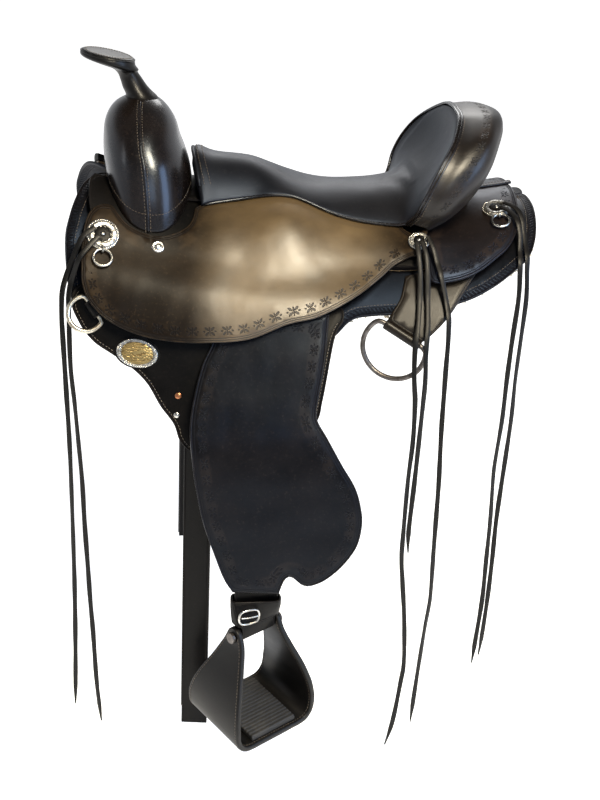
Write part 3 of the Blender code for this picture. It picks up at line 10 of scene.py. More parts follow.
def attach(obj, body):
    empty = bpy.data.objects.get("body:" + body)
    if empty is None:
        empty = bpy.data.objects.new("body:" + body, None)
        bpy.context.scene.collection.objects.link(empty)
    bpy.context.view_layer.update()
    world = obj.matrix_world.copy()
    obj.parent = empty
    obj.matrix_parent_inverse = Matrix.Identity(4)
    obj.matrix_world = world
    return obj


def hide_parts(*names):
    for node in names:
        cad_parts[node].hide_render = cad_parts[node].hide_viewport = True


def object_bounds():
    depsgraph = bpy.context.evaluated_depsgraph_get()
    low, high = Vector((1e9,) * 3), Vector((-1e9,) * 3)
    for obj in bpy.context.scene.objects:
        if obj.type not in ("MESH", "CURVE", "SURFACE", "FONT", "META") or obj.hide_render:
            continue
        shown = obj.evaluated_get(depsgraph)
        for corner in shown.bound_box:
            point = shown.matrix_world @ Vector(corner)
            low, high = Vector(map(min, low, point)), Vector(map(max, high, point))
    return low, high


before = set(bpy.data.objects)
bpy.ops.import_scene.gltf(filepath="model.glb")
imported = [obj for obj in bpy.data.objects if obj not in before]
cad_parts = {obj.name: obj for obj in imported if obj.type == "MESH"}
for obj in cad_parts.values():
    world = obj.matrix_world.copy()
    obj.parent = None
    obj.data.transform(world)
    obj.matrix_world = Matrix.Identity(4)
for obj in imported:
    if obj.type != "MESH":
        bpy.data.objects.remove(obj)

CAD_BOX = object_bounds()

# The saddle's own sizes: the horn points to -X, the near side is -Y, and leather panels are drawn
# flat as (x, s) outlines, where s is the distance down the barrel of the back from its ridge.
MM = 0.001
FRONT_END = -0.35
REAR_END = 0.28
FRONT_STEEPNESS = math.radians(80)
REAR_STEEPNESS = math.radians(90)
FRONT_ROUNDNESS = 0.16
REAR_ROUNDNESS = 0.33
WITHERS_RISE = 0.5
LOIN_RISE = 0.35
DEEPEST_S = 0.60
TABLE_STEP = 0.002
LAYER_GAP = 0.8 * MM
FLEECE_GAP = 1.5 * MM
BAR_GAP = 1.8 * MM
JOCKEY_GAP = 1.2 * MM
FLEECE = 13 * MM
SKIRT = 4.5 * MM
BAR = 12 * MM
RIGGING = 3.5 * MM
HANGER = 4 * MM
JOCKEY = 4 * MM
SKIRT_LIFT = FLEECE + FLEECE_GAP
SKIRT_TOP = SKIRT_LIFT + SKIRT
BAR_LIFT = SKIRT_TOP + BAR_GAP
BAR_TOP = BAR_LIFT + BAR
JOCKEY_LIFT = BAR_TOP + JOCKEY_GAP
RIGGING_TOP = BAR_LIFT + RIGGING
HANGER_TOP = BAR_LIFT + HANGER
FLEECE_INSET = 8 * MM
TOUCH_GAP = 0.5 * MM
SEAT_RISE = 18 * MM
SEAT_RISE_X = -0.070
SEAT_RISE_LENGTH = 0.055
RISE_SIDE = (0.075, 0.165)
SEAT_PAD_RISE = 5 * MM
PAD_FRONT = (-0.205, -0.150)
PAD_REAR = (0.13, 0.16)
FLARE = 9.5 * MM
FLARE_SIDE = (0.130, 0.190)
FLARE_REAR = (0.03, 0.10)
SEAT_GAP = 1.4 * MM
WING_RISE = JOCKEY + 1.4 * MM
WING_FRONT = (0.085, 0.108)
JOCKEY_REACH = (0, 0.165, 0.005)
EDGE_STEP = 5 * MM
RUN_STEPS = 12
DEE_STEPS = 15
DEE_CORNER = 0.12
DEE_BAR_SHARES = (-0.86, -0.4, 0.4, 0.86)
FORK_FULLNESS = 2.4
FORK_FULLNESS_DROP = 0.4
FORK_REACH = (0.02, 0.2, 0.005)
COVER = 4.5 * MM
FORK_COLUMNS = 24
GULLET_HALF_WIDTH = 0.045
GULLET_CROWN = 8 * MM
SEAT_COLUMNS = 15
SEAT_SHELL = 12 * MM
CANTLE_BOARD = 20 * MM
CANTLE_LEATHER = 3.5 * MM
ROLL_LEATHER = 5 * MM
ROLL_SEAM_GAP = 2.0 * MM
ROLL_STEPS = 6
ROLL_TIMES = (6, 5)
CONCHO_CROWN = 4.5 * MM
CONCHO_STEP = 5 * MM
CONCHOS = {
    "front": (21.5 * MM, -317 * MM, 128 * MM, 1.2 * MM),
    "mid": (14.5 * MM, 110 * MM, 112 * MM, 0.5 * MM),
    "rear": (19.5 * MM, 227 * MM, 66 * MM, 0.5 * MM),
}
EYE_WIRE = 1.3 * MM
EYE_RADIUS = 3.6 * MM
BADGE_HALF_LENGTH = 28 * MM
BADGE_HALF_HEIGHT = 19 * MM
BADGE_PLACE = (-271 * MM, 262 * MM)
FRONT_DEE_BAR = ((-341 * MM, 204 * MM), (-316 * MM, 232 * MM))
FRONT_DEE_WIRE = 3.2 * MM
KEEPER = 3 * MM
REAR_DEE_BAR = ((56 * MM, 203 * MM), (113 * MM, 244 * MM))
REAR_DEE_WIRE = 3.6 * MM
WRAP_LEATHER = 3 * MM
RUNNING_GAP = 0.5 * MM
FRONT_DEE_HALF = 20 * MM
FRONT_DEE_CENTRE = 12 * MM
FRONT_DEE_LEAN = -6
KEEPER_LENGTH = 26 * MM
KEEPER_WIDTH = 24 * MM
REAR_DEE_HALF = 37 * MM
REAR_DEE_CENTRE = 24 * MM
WRAP_LENGTH = 56 * MM
REAR_JOCKEY_TOP = JOCKEY_LIFT + JOCKEY
RING_RADIUS = 12 * MM
RING_WIRE = 1.7 * MM
RING_LEAN = {"front": -5, "rear": 8}
EYE_HEIGHT = 5.2 * MM
EYE_GAP = 0.8 * MM
FENDER_X = -95 * MM
FENDER_TANGENT_S = 225 * MM
FENDER_SEAT_GAP = 0.35 * MM
FENDER = 4 * MM
STIRRUP_LEATHER = 3.2 * MM
STIRRUP_LEATHER_WIDTH = 60 * MM
FENDER_FLAT = 95 * MM
FENDER_BEND = 110 * MM
FENDER_HANG = math.radians(84)
FENDER_STEPS = 24
LEATHER_X = -98 * MM
LEATHER_TOP_W = -46 * MM
LEATHER_STEP = 27 * MM
LEATHER_STEPS = 15
LEATHER_RETURN = 70 * MM
PLY_SPREAD = 0.4 * MM
LOOP_SHARE = 0.75
LOOP_STEPS = 8
BOLT = Vector((-106 * MM, -272 * MM, -515 * MM))
BOLT_RADIUS = 5 * MM
TWIST = math.radians(37)
TWIST_LOW = 6 * MM
TWIST_HIGH = 58 * MM
STIRRUP_WALL = 8 * MM
TREAD_TILT = math.tan(math.radians(9))
TREAD = 7 * MM
TREAD_WIDTH = 80 * MM
TREAD_DEPTH = 98 * MM
HOBBLE = 3 * MM
HOBBLE_LOW = 16 * MM
HOBBLE_HIGH = 50 * MM
HOBBLE_HALF_WIDTH = 32.6 * MM
HOBBLE_HALF_THICKNESS = 10 * MM
HOBBLE_ROWS = 4
HOBBLE_SIDES = 16
HOBBLE_SQUARE = 0.2
HOBBLE_ROUND = 0.6
BUCKLE_HEIGHT = 32 * MM
BUCKLE_W = -17 * MM
BUCKLE_OUT = 18.5 * MM
BUCKLE_WIRE = 1.5 * MM
BUCKLE_PATH = [(-12 * MM, -9 * MM), (12 * MM, -9 * MM), (12 * MM, 9 * MM), (-12 * MM, 9 * MM)]
LATIGO_WIDTH = 38 * MM
LATIGO = 4.2 * MM
LATIGO_X = -188 * MM
LATIGO_DROP = 0.433
LATIGO_BACK_DROP = 0.473
BILLET_DROP = 0.393
LINK_WIRE = 3.5 * MM
LINK_HIGH_LIFT = BAR_LIFT - TOUCH_GAP - LINK_WIRE
LINK_LOW_LIFT = LINK_HIGH_LIFT - RUNNING_GAP - LATIGO
LINK_LOW_S = 368 * MM
STRING_STEP = 20 * MM


def smoothstep(low, high, value):
    t = min(max((value - low) / (high - low), 0.0), 1.0)
    return t * t * (3 - 2 * t)


def ridge_height(x):
    return (WITHERS_RISE if x < 0 else LOIN_RISE) * x * x


SECTIONS = {}


def section_table(x):
    """Distance, half width, height and slope down one cross-section of the barrel."""
    key = round(x, 5)
    if key not in SECTIONS:
        along = min(max((x - FRONT_END) / (REAR_END - FRONT_END), 0.0), 1.0)
        steepness = FRONT_STEEPNESS + (REAR_STEEPNESS - FRONT_STEEPNESS) * along
        roundness = FRONT_ROUNDNESS + (REAR_ROUNDNESS - FRONT_ROUNDNESS) * along
        s = np.arange(0, DEEPEST_S + TABLE_STEP, TABLE_STEP)
        slope = steepness * np.tanh(s / roundness)
        wide, deep = (
            np.concatenate([[0], np.cumsum((run[1:] + run[:-1]) / 2 * TABLE_STEP)])
            for run in (np.cos(slope), np.sin(slope))
        )
        SECTIONS[key] = s, wide, ridge_height(x) - deep, slope
    return SECTIONS[key]


def barrel(x, s, lift=0.0):
    """Point on the near side at distance s from the ridge; a negative s is the off side."""
    table_s, wide, high, slopes = section_table(x)
    slope = np.interp(abs(s), table_s, slopes)
    y = np.interp(abs(s), table_s, wide) + lift * math.sin(slope)
    z = np.interp(abs(s), table_s, high) + lift * math.cos(slope)
    return Vector((x, -y if s >= 0 else y, z))


def barrel_along(x, s, lift=0.0):
    return (barrel(x + 2 * MM, s, lift) - barrel(x - 2 * MM, s, lift)).normalized()


def barrel_down(x, s):
    return (barrel(x, s + 2 * MM) - barrel(x, s - 2 * MM)).normalized()


def barrel_normal(x, s, lift=0.0):
    """Outward normal on the near side of the surface at a height over the barrel."""
    return barrel_down(x, s).cross(barrel_along(x, s, lift)).normalized()


def jockey_lift(x, s):
    """Height of the underside of the jockeys over the barrel."""
    s = abs(s)
    swell = math.exp(-(((x - SEAT_RISE_X) / SEAT_RISE_LENGTH) ** 2))
    rise = SEAT_RISE * swell + SEAT_PAD_RISE * smoothstep(*PAD_FRONT, x) * (1 - smoothstep(*PAD_REAR, x))
    flare = FLARE * smoothstep(*FLARE_SIDE, s) * (1 - smoothstep(*FLARE_REAR, x))
    wing = WING_RISE * smoothstep(*WING_FRONT, x)
    return JOCKEY_LIFT + rise * (1 - smoothstep(*RISE_SIDE, s)) + flare + wing


def jockey_top(x, s):
    return jockey_lift(x, s) + JOCKEY


def jockey_top_height(x, y):
    """Height of the jockeys' top, carried on to the centre line, at a distance y from it."""
    places = [barrel(x, s, jockey_top(x, s)) for s in np.arange(*JOCKEY_REACH)]
    return float(np.interp(abs(y), [-p.y for p in places], [p.z for p in places]))


def turns(count, start=0.0):
    """Angles of evenly spaced places round a full turn."""
    return [2 * math.pi * (k + start) / count for k in range(count)]


def powered(value, power):
    """Power of a number that keeps its sign."""
    return math.copysign(abs(value) ** power, value)


def unit(rows):
    """The rows of an array, each made one long."""
    return rows / np.maximum(np.linalg.norm(rows, axis=-1), 1e-9)[..., None]


def run_lengths(points):
    """Distance along a run of points up to each of them."""
    steps = np.linalg.norm(np.diff(np.asarray(points, float), axis=0), axis=1)
    return np.concatenate([[0], np.cumsum(steps)])


def heading(points, closed=False):
    """Direction of a run at each of its points."""
    if closed:
        return unit(np.roll(points, -1, axis=0) - np.roll(points, 1, axis=0))
    return unit(np.gradient(points, axis=0))


def steps_past(places):
    """From the place before each one to the place after it."""
    last = len(places) - 1
    return [np.subtract(places[min(k + 1, last)], places[max(k - 1, 0)]) for k in range(last + 1)]


def catmull(p0, p1, p2, p3, t):
    bend = 2 * p0 - 5 * p1 + 4 * p2 - p3
    twist = 3 * p1 - p0 - 3 * p2 + p3
    return 0.5 * (2 * p1 + (p2 - p0) * t + bend * t * t + twist * t**3)


def finer(values, times, closed=False):
    """Smooth curve through the rows of an array, with more rows between them."""
    values = np.asarray(values, float)
    count = len(values)
    made = []
    for i in range(count if closed else count - 1):
        if closed:
            around = [values[(i + k) % count] for k in (-1, 0, 1, 2)]
        else:
            around = [values[max(i - 1, 0)], values[i], values[i + 1], values[min(i + 2, count - 1)]]
        made += [catmull(*around, t) for t in np.linspace(0, 1, times, endpoint=False)]
    if not closed:
        made.append(values[-1])
    return np.array(made)


def smooth_run(points, step, closed=False):
    """Evenly spaced points on a smooth curve through the given ones."""
    dense = finer(points, RUN_STEPS, closed)
    if closed:
        dense = np.concatenate([dense, dense[:1]])
    length = run_lengths(dense)
    parts = max(int(round(length[-1] / step)), 2)
    marks = np.linspace(0, length[-1], parts + 1)
    run = np.stack([np.interp(marks, length, dense[:, k]) for k in range(dense.shape[1])], 1)
    return run[:-1] if closed else run


def outline(points, step=EDGE_STEP):
    """Closed outline in metres from millimetre points; a third value of 1 marks a corner."""
    corners = [i for i, p in enumerate(points) if len(p) > 2 and p[2]]
    flat = [(p[0] * MM, p[1] * MM) for p in points]
    if not corners:
        return [tuple(p) for p in smooth_run(flat, step, closed=True)]
    made = []
    for a, b in zip(corners, corners[1:] + [corners[0] + len(points)]):
        run = [flat[i % len(points)] for i in range(a, b + 1)]
        made += [tuple(p) for p in smooth_run(run, step)[:-1]]
    return made


def inset(points, distance):
    """The outline moved inwards."""
    ring = np.array(points)
    ahead = heading(ring, closed=True)
    normals = np.stack([-ahead[:, 1], ahead[:, 0]], 1)
    area = np.sum(ring[:, 0] * np.roll(ring[:, 1], -1) - np.roll(ring[:, 0], -1) * ring[:, 1])
    return [tuple(p) for p in ring + normals * distance * np.sign(area)]


def grid_normals(grid, closed=False):
    """Unit normals of a grid of points, rows by columns."""
    if closed:
        across = np.roll(grid, -1, axis=1) - np.roll(grid, 1, axis=1)
    else:
        across = np.gradient(grid, axis=1)
    return unit(np.cross(np.gradient(grid, axis=0), across))


def flip(vector):
    return Vector((vector.x, -vector.y, vector.z))


def ring_of(centre, first, second, count, start=0.0, reach=None):
    """Ring of points round a centre; first and second are its half axes, reach(turn) scales them."""
    return [
        centre + (first * math.cos(t) + second * math.sin(t)) * (reach(t) if reach else 1.0)
        for t in turns(count, start)
    ]


def fork_ring(x_front, x_rear, half_width, fullness=FORK_FULLNESS):
    """Plan outline of the fork at one level."""
    centre, half_length = (x_front + x_rear) / 2, (x_rear - x_front) / 2
    power = 2 / fullness
    return [
        (centre + half_length * powered(math.cos(t), power), half_width * powered(math.sin(t), power))
        for t in turns(FORK_COLUMNS)
    ]


def fork_floor(x, y, lift):
    """Lower edge of the fork: on the bars at the sides, an arch over the gullet between them."""
    reach = max(abs(y), GULLET_HALF_WIDTH)
    places = [barrel(x, s, lift) for s in np.arange(*FORK_REACH)]
    z = float(np.interp(reach, [-p.y for p in places], [p.z for p in places]))
    open_share = max(1 - (abs(y) / GULLET_HALF_WIDTH) ** 2, 0.0)
    return z + GULLET_CROWN * open_share


FORK_FOOT = (-317 * MM, -197 * MM, 124 * MM)
FORK_SHOULDER_Z = 100 * MM
FORK_FOOT_STEPS = [(-318, -198, 121), (-319, -201, 115)]
FORK_LEVELS = [
    (100, -320, -206, 106), (118, -320, -213, 96), (138, -318, -219, 80), (153, -312, -227, 61),
    (164, -303, -236, 44), (171, -292, -245, 29), (173, -286, -249, 20),
]


def fork_grid():
    """Outside of the fork cover, from its lower edge up to the horn."""
    foot = fork_ring(*FORK_FOOT)
    floor = [fork_floor(x, y, JOCKEY_LIFT) for x, y in foot]
    rows = [[(x, y, z) for (x, y), z in zip(foot, floor)]]
    steps = len(FORK_FOOT_STEPS) + 1
    for k, sizes in enumerate(FORK_FOOT_STEPS, 1):
        ring = fork_ring(*(size * MM for size in sizes))
        rows.append([(x, y, z + (FORK_SHOULDER_Z - z) * k / steps) for (x, y), z in zip(ring, floor)])
    first, last = FORK_LEVELS[0][0], FORK_LEVELS[-1][0]
    for level, *sizes in FORK_LEVELS:
        fullness = FORK_FULLNESS - FORK_FULLNESS_DROP * (level - first) / (last - first)
        ring = fork_ring(*(size * MM for size in sizes), fullness)
        rows.append([(x, y, level * MM) for x, y in ring])
    return np.array(rows)


SEAT_MIDDLE = [
    (-197, 100), (-188, 105), (-165, 97), (-116, 92), (-84, 81), (-59, 70.5), (-32, 62.5), (0, 59.5),
    (36, 60.5), (66, 63), (92, 69), (114, 79), (132, 92), (147, 108), (158, 126), (165, 146), (169, 168),
]
SEAT_EDGE = [
    (-185, 80, 43), (-172, 76, 45.5), (-149, 71, 48.5), (-113, 67, 53), (-88, 69, 57), (-57, 70, 55.5),
    (-27, 76, 45), (3, 84, 34.5), (39, 93, 28.5), (71, 100, 27), (94, 108, 30), (104, 125, 47),
    (111, 136, 70), (122, 135, 95), (137, 124, 120), (153, 101, 141), (167, 55, 162),
]
SEAT_CROWN = 2.3
SEAT_RIM = 5 * MM
FIRST_DISH_ROW = 10
UNDER_FROM_TO = (FIRST_DISH_ROW - 2.5, FIRST_DISH_ROW + 0.6)
UNDER_SPREAD = 0.985
RIM_COLUMN = SEAT_COLUMNS // 2 + 2
BAR_SEAT = 0.6 * BAR
BOARD_GAP = 2 * MM
BOARD_SPREAD = 0.86
BOARD_COLUMNS = 13
BOARD_FOOT_SHIFT = 10 * MM
BOARD_FOOT_SPREAD = 0.76
BOARD_FOOT_LAST_X = 0.08
BOARD_TAPER = 0.6
BOARD_LEAN = 0.35


def seat_grid(spread=1.0, columns=SEAT_COLUMNS):
    """Top of the seat: rows from the fork back and up the cantle, columns across."""
    rows = []
    for (mx, mz), (ex, ey, ez) in zip(SEAT_MIDDLE, SEAT_EDGE):
        row = []
        for across in np.linspace(-spread, spread, columns):
            a = abs(across)
            x = mx + (ex - mx) * a * a
            z = mz + (ez - mz) * a**SEAT_CROWN
            row.append((x * MM, ey * across * MM, z * MM))
        rows.append(row)
    return np.array(rows)


def facing(grid, direction):
    """Normals of the grid turned to one side."""
    normals = grid_normals(grid)
    if np.sum(normals @ np.array(direction)) < 0:
        normals = -normals
    return normals


def seat_thickness(spread=1.0, columns=SEAT_COLUMNS):
    """Padding of the dish, thinner at its rim."""
    across = np.linspace(-spread, spread, columns)
    rows = []
    for i in range(len(SEAT_MIDDLE)):
        share = 1 - smoothstep(len(SEAT_MIDDLE) - 4, len(SEAT_MIDDLE) - 1, i)
        rows.append(SEAT_RIM + (SEAT_SHELL - SEAT_RIM) * share * (1 - across**2))
    return np.array(rows)[:, :, None]


def seat_faces():
    """Top and underside of the seat: it lies on the jockeys, and up the cantle board."""
    top = seat_grid()
    under = top - facing(top, (0, 0, 1)) * seat_thickness()
    for i in range(len(top)):
        share = smoothstep(*UNDER_FROM_TO, i)
        for j in range(SEAT_COLUMNS):
            x, y = top[i, j, :2]
            flat = np.array((x, y * UNDER_SPREAD, jockey_top_height(x, y) + SEAT_GAP))
            under[i, j] = flat * (1 - share) + under[i, j] * share
    return top, under


def cantle_shapes():
    """Front and back of the wooden cantle board, and the leather on its back."""
    top = seat_grid(BOARD_SPREAD, BOARD_COLUMNS)
    front = top - facing(top, (0, 0, 1)) * (seat_thickness(BOARD_SPREAD, BOARD_COLUMNS) + BOARD_GAP)
    front = front[FIRST_DISH_ROW:-1]
    for j, (x, y, _) in enumerate(front[1]):
        foot_x, foot_y = x - BOARD_FOOT_SHIFT, y * BOARD_FOOT_SPREAD
        foot_z = jockey_top_height(min(foot_x, BOARD_FOOT_LAST_X), foot_y) - JOCKEY - BAR_SEAT
        front[0, j] = foot_x, foot_y, foot_z
    thickness = np.linspace(CANTLE_BOARD, BOARD_TAPER * CANTLE_BOARD, len(front))[:, None]
    thickness = thickness * (1 - BOARD_TAPER * np.linspace(-1, 1, BOARD_COLUMNS)[None, :] ** 2)
    back = front.copy()
    back[:, :, 0] += thickness
    back[1:, :, 2] -= thickness[1:] * BOARD_LEAN
    leather_in = back[1:].copy()
    leather_in[:, :, 0] += LAYER_GAP
    leather_in[0, :, 2] = [jockey_top_height(x, y) + SEAT_GAP for x, y, _ in leather_in[0]]
    leather_in = leather_in[:, 1:-1]
    return front, back, shell(leather_in, leather_in + (CANTLE_LEATHER, 0, 0))


ROLL_STATIONS = [
    ((94, 108, 30), (108, 118, 29), (118, 122, 27), (124, 118, 22.5)),
    ((104, 125, 47), (124, 134, 48), (142, 134, 47), (150, 126, 42)),
    ((111, 136, 70), (138, 142, 73), (160, 138, 72), (172, 123, 62)),
    ((122, 135, 95), (152, 139, 100), (180, 132, 99), (192, 117, 87)),
    ((137, 124, 120), (170, 127, 125), (196, 120, 123), (206, 107, 109)),
    ((153, 101, 141), (186, 103, 148), (209, 97, 146), (218, 86, 130)),
    ((167, 55, 162), (202, 56, 166), (226, 52, 160), (232, 47, 146)),
    ((169, 20, 168), (207, 19, 170), (232, 18, 165), (237, 17, 151)),
]


def both_halves(half):
    """Rows from the near side on, and their mirror images back to the off side."""
    return half + [rows * (1, -1, 1) for rows in half[::-1]]


def roll_shape():
    """Cheyenne roll: a leather band from the rim of the dish over to its free rear lip."""
    stations = both_halves([np.array(station, float) * MM for station in ROLL_STATIONS])
    outer = np.array([smooth_run(station, run_lengths(station)[-1] / ROLL_STEPS) for station in stations])
    normals = grid_normals(outer)
    if normals[len(outer) // 2, 1, 2] < 0:
        normals = -normals
    top, under = seat_faces()
    edge = top - under
    normals[:, 0] = unit(np.array(both_halves([*edge[FIRST_DISH_ROW:, -1], edge[-1, RIM_COLUMN]])))
    away = np.cross(np.gradient(outer[:, 0], axis=0), normals[:, 0])
    away *= np.sign(np.sum(away * (outer[:, 1] - outer[:, 0]), axis=1))[:, None]
    inner = outer - normals * ROLL_LEATHER
    for grid in (outer, inner):
        grid[:, 0] += unit(away) * ROLL_SEAM_GAP
    return shell(outer, inner, times=ROLL_TIMES, edge_from="last_column")


HORN_PROFILE = [
    (-268, 174, 21, 24), (-274, 183, 19.5, 20), (-279, 192, 17.5, 17.5), (-284, 201, 16.5, 16.5),
    (-291, 208, 19, 19), (-301, 213.5, 30, 27), (-311, 219, 36.5, 33.5), (-313, 223.5, 37.5, 34.5),
    (-312.5, 228, 36, 33),
]
HORN_TILT = [0, 6, 9, 10, 10, 10, 10, 10, 10]




SKIRT_OUTLINE = [
    (-312, 30, 1), (-334, 48), (-351, 74), (-362, 102), (-367, 136), (-366, 170), (-361, 205), (-349, 228),
    (-320, 240), (-250, 245), (-150, 243), (-60, 238), (-12, 223), (16, 200), (42, 195), (110, 195),
    (172, 188), (212, 174), (244, 155), (263, 140), (274, 120), (282, 90), (287, 49), (286, 12), (282, 1, 1),
    (165, 1, 1), (150, 34), (120, 40), (0, 40), (-200, 38),
]
JOCKEY_OUTLINE = [
    (-344, 172), (-343, 190), (-335, 209), (-316, 225), (-291, 234), (-259, 239), (-217, 239), (-176, 235),
    (-123, 227), (-72, 208), (-33, 200), (6, 184), (32, 170), (57, 152), (75, 138), (95, 130), (110, 129),
    (119, 120), (127, 92), (150, 72), (175, 54), (192, 42, 1), (184, 32, 1), (162, 48), (140, 65), (127, 82),
    (118, 96), (104, 100), (94, 90), (86, 78), (60, 68), (36, 64), (0, 56), (-28, 49),
    (-58, 42), (-88, 37), (-114, 39), (-148, 45), (-176, 54), (-194, 66, 1), (-198, 84), (-206, 96),
    (-222, 107), (-241, 114), (-262, 114), (-284, 108), (-297, 97), (-306, 88), (-321, 91), (-334, 103),
    (-341, 122), (-344, 148),
]
REAR_JOCKEY_OUTLINE = [
    (124, 163), (156, 166), (187, 159), (214, 144), (233, 130), (248, 106), (258, 62), (261, 22),
    (259, 0.6, 1), (190, 0.6, 1), (184, 26), (166, 45), (144, 62), (129, 80), (121, 98), (118, 118),
    (120, 134, 1),
]
RIGGING_OUTLINE = [
    (-345, 190), (-357, 206), (-357, 224), (-349, 239), (-341, 250), (-326, 262), (-304, 271), (-280, 282),
    (-258, 299), (-240, 326), (-222, 347), (-214, 368), (-200, 381), (-180, 387), (-150, 389), (-100, 384),
    (-60, 366), (-30, 330), (-22, 300), (-7, 224), (6, 199), (2, 182), (-30, 172), (-150, 170), (-280, 172),
    (-325, 178),
]
HANGER_OUTLINE = [
    (92, 146, 1), (84, 174), (73, 191), (65, 202.7, 1), (110.4, 235.5, 1), (122, 229), (150, 204), (188, 154),
    (206, 134, 1), (150, 138),
]
FENDER_OUTLINE = [
    (-163, 205, 1), (-172, 238), (-182, 262), (-190, 296), (-195, 331), (-195.5, 356), (-192, 389),
    (-184, 436), (-173, 483), (-157, 527), (-143, 562), (-130, 582, 1), (-66, 582, 1), (-60, 563), (-54, 556),
    (-47, 558), (-36, 567), (-24, 569), (-3, 559), (20, 536), (37, 507), (42, 476), (39, 451), (29, 421),
    (9, 390), (-12, 356), (-26, 334), (-28, 318), (-26, 300), (-21, 266), (-18, 231), (-16, 190, 1),
    (-90, 196),
]


def fender_frame():
    """Origin and directions of the flat top of the fender sheet on the near side."""
    lift = RIGGING_TOP + FENDER_SEAT_GAP
    front = barrel(-170 * MM, FENDER_TANGENT_S, lift)
    rear = barrel(-20 * MM, FENDER_TANGENT_S, lift)
    along = (rear - front).normalized()
    origin = front + along * ((FENDER_X - front.x) / along.x)
    down = barrel(FENDER_X, FENDER_TANGENT_S + 0.01) - barrel(FENDER_X, FENDER_TANGENT_S - 0.01)
    down = (down - along * down.dot(along)).normalized()
    out = along.cross(down)
    if out.y > 0:
        out = -out
    return origin, along, down, out


def fender_point(x, w, lift):
    """Point of the sheet: x along the saddle, w down the sheet from its tangent line."""
    origin, along, down, out = fender_frame()
    full_bend = FENDER_HANG - math.asin(-down.z)
    place = origin + down * min(w, FENDER_FLAT)
    bend = 0.0
    if w > FENDER_FLAT:
        step = (w - FENDER_FLAT) / FENDER_STEPS
        for k in range(FENDER_STEPS):
            bend = full_bend * smoothstep(0, FENDER_BEND, (k + 0.5) * step)
            place += (down * math.cos(bend) - out * math.sin(bend)) * step
        bend = full_bend * smoothstep(0, FENDER_BEND, w - FENDER_FLAT)
    normal = out * math.cos(bend) + down * math.sin(bend)
    return place + along * ((x - FENDER_X) / along.x) + normal * lift


def stirrup_leather_shape():
    """Leather strap behind the fender that turns, goes round the stirrup bolt and comes back up."""
    path, sides, ups = [], [], []
    along = fender_frame()[1]
    for w in [LEATHER_TOP_W + k * LEATHER_STEP for k in range(LEATHER_STEPS)]:
        here, ahead = (fender_point(LEATHER_X, at, STIRRUP_LEATHER / 2) for at in (w, w + 1 * MM))
        path.append(here)
        sides.append(along)
        ups.append(along.cross(ahead - here).normalized() * -1)
    loop = BOLT_RADIUS + RUNNING_GAP + STIRRUP_LEATHER / 2
    flat = STIRRUP_LEATHER / 2 + LAYER_GAP
    plies = [(34 * MM, flat + PLY_SPREAD), (22 * MM, loop * LOOP_SHARE), (10 * MM, loop)]
    places = [(height, out, 0.0) for height, out in [(44 * MM, flat)] + plies]
    for turn in [math.pi * k / LOOP_STEPS for k in range(1, LOOP_STEPS)]:
        places.append((-loop * math.sin(turn), loop * math.cos(turn), turn))
    places += [(height, -out, math.pi) for height, out in plies[::-1] + [(LEATHER_RETURN, flat)]]
    for height, out, turn in places:
        wide, deep = stirrup_axes(height)
        path.append(BOLT + deep * out + Vector((0, 0, height)))
        sides.append(wide)
        ups.append(deep * math.cos(turn) - Vector((0, 0, 1)) * math.sin(turn))
    return ribbon(path, sides, ups, STIRRUP_LEATHER_WIDTH, STIRRUP_LEATHER)


def stirrup_axes(height):
    """Width and depth directions at a height over the bolt: the leathers turn the stirrup outwards."""
    turn = TWIST * (1 - smoothstep(TWIST_LOW, TWIST_HIGH, height))
    wide = Vector((math.cos(turn), math.sin(turn), 0))
    return wide, Vector((math.sin(turn), -math.cos(turn), 0))


def stirrup_place(w, d, height):
    wide, deep = stirrup_axes(min(height, 0.0))
    return BOLT + wide * w + deep * d + Vector((0, 0, height))


STIRRUP_SIDE = [
    (36, 13), (36, 0), (38, -14), (47, -38), (59, -66), (67, -90), (70, -110), (68, -130), (58, -142),
    (44, -145), (30, -145),
]
STIRRUP_DEPTHS = [
    (13, 12), (9, 22), (0, 30), (-14, 42), (-38, 62), (-66, 86), (-90, 102), (-110, 110), (-145, 112),
]


def hobble_shape():
    """Strap round the two plies of the stirrup leather."""
    outer, inner = [], []
    for height in np.linspace(HOBBLE_LOW, HOBBLE_HIGH, HOBBLE_ROWS):
        wide, deep = stirrup_axes(height)
        middle = BOLT + Vector((0, 0, height))
        for grid, thickness in ((outer, HOBBLE), (inner, 0.0)):
            ring = []
            for turn in turns(HOBBLE_SIDES):
                c, s = math.cos(turn), math.sin(turn)
                w = powered(c, HOBBLE_SQUARE) * HOBBLE_HALF_WIDTH + thickness * powered(c, HOBBLE_ROUND)
                d = powered(s, HOBBLE_ROUND) * HOBBLE_HALF_THICKNESS + thickness * s
                ring.append(tuple(middle + wide * w + deep * d))
            grid.append(ring)
    return shell(outer, inner, closed=True)


def circle(radius, count):
    return [(radius * math.cos(t), radius * math.sin(t)) for t in turns(count)]


def dee_path(half_bar, depth):
    """D shape: a straight bar at 0 and an arc below it, in (along, down)."""
    radius = math.hypot(half_bar, depth)
    start = math.atan2(-depth, half_bar) + DEE_CORNER
    arc = [
        (radius * math.cos(t), depth + radius * math.sin(t))
        for t in np.linspace(start, math.pi - start, DEE_STEPS)
    ]
    return [(half_bar * share, 0.0) for share in DEE_BAR_SHARES] + arc


def frame_on_barrel(a, b, lift):
    """Middle, direction and outward normal of a bar that lies between two places of the barrel."""
    start, end = barrel(*a, lift), barrel(*b, lift)
    middle = (start + end) / 2
    along = (end - start).normalized()
    normal = barrel_normal((a[0] + b[0]) / 2, (a[1] + b[1]) / 2)
    normal = (normal - along * normal.dot(along)).normalized()
    return middle, along, normal


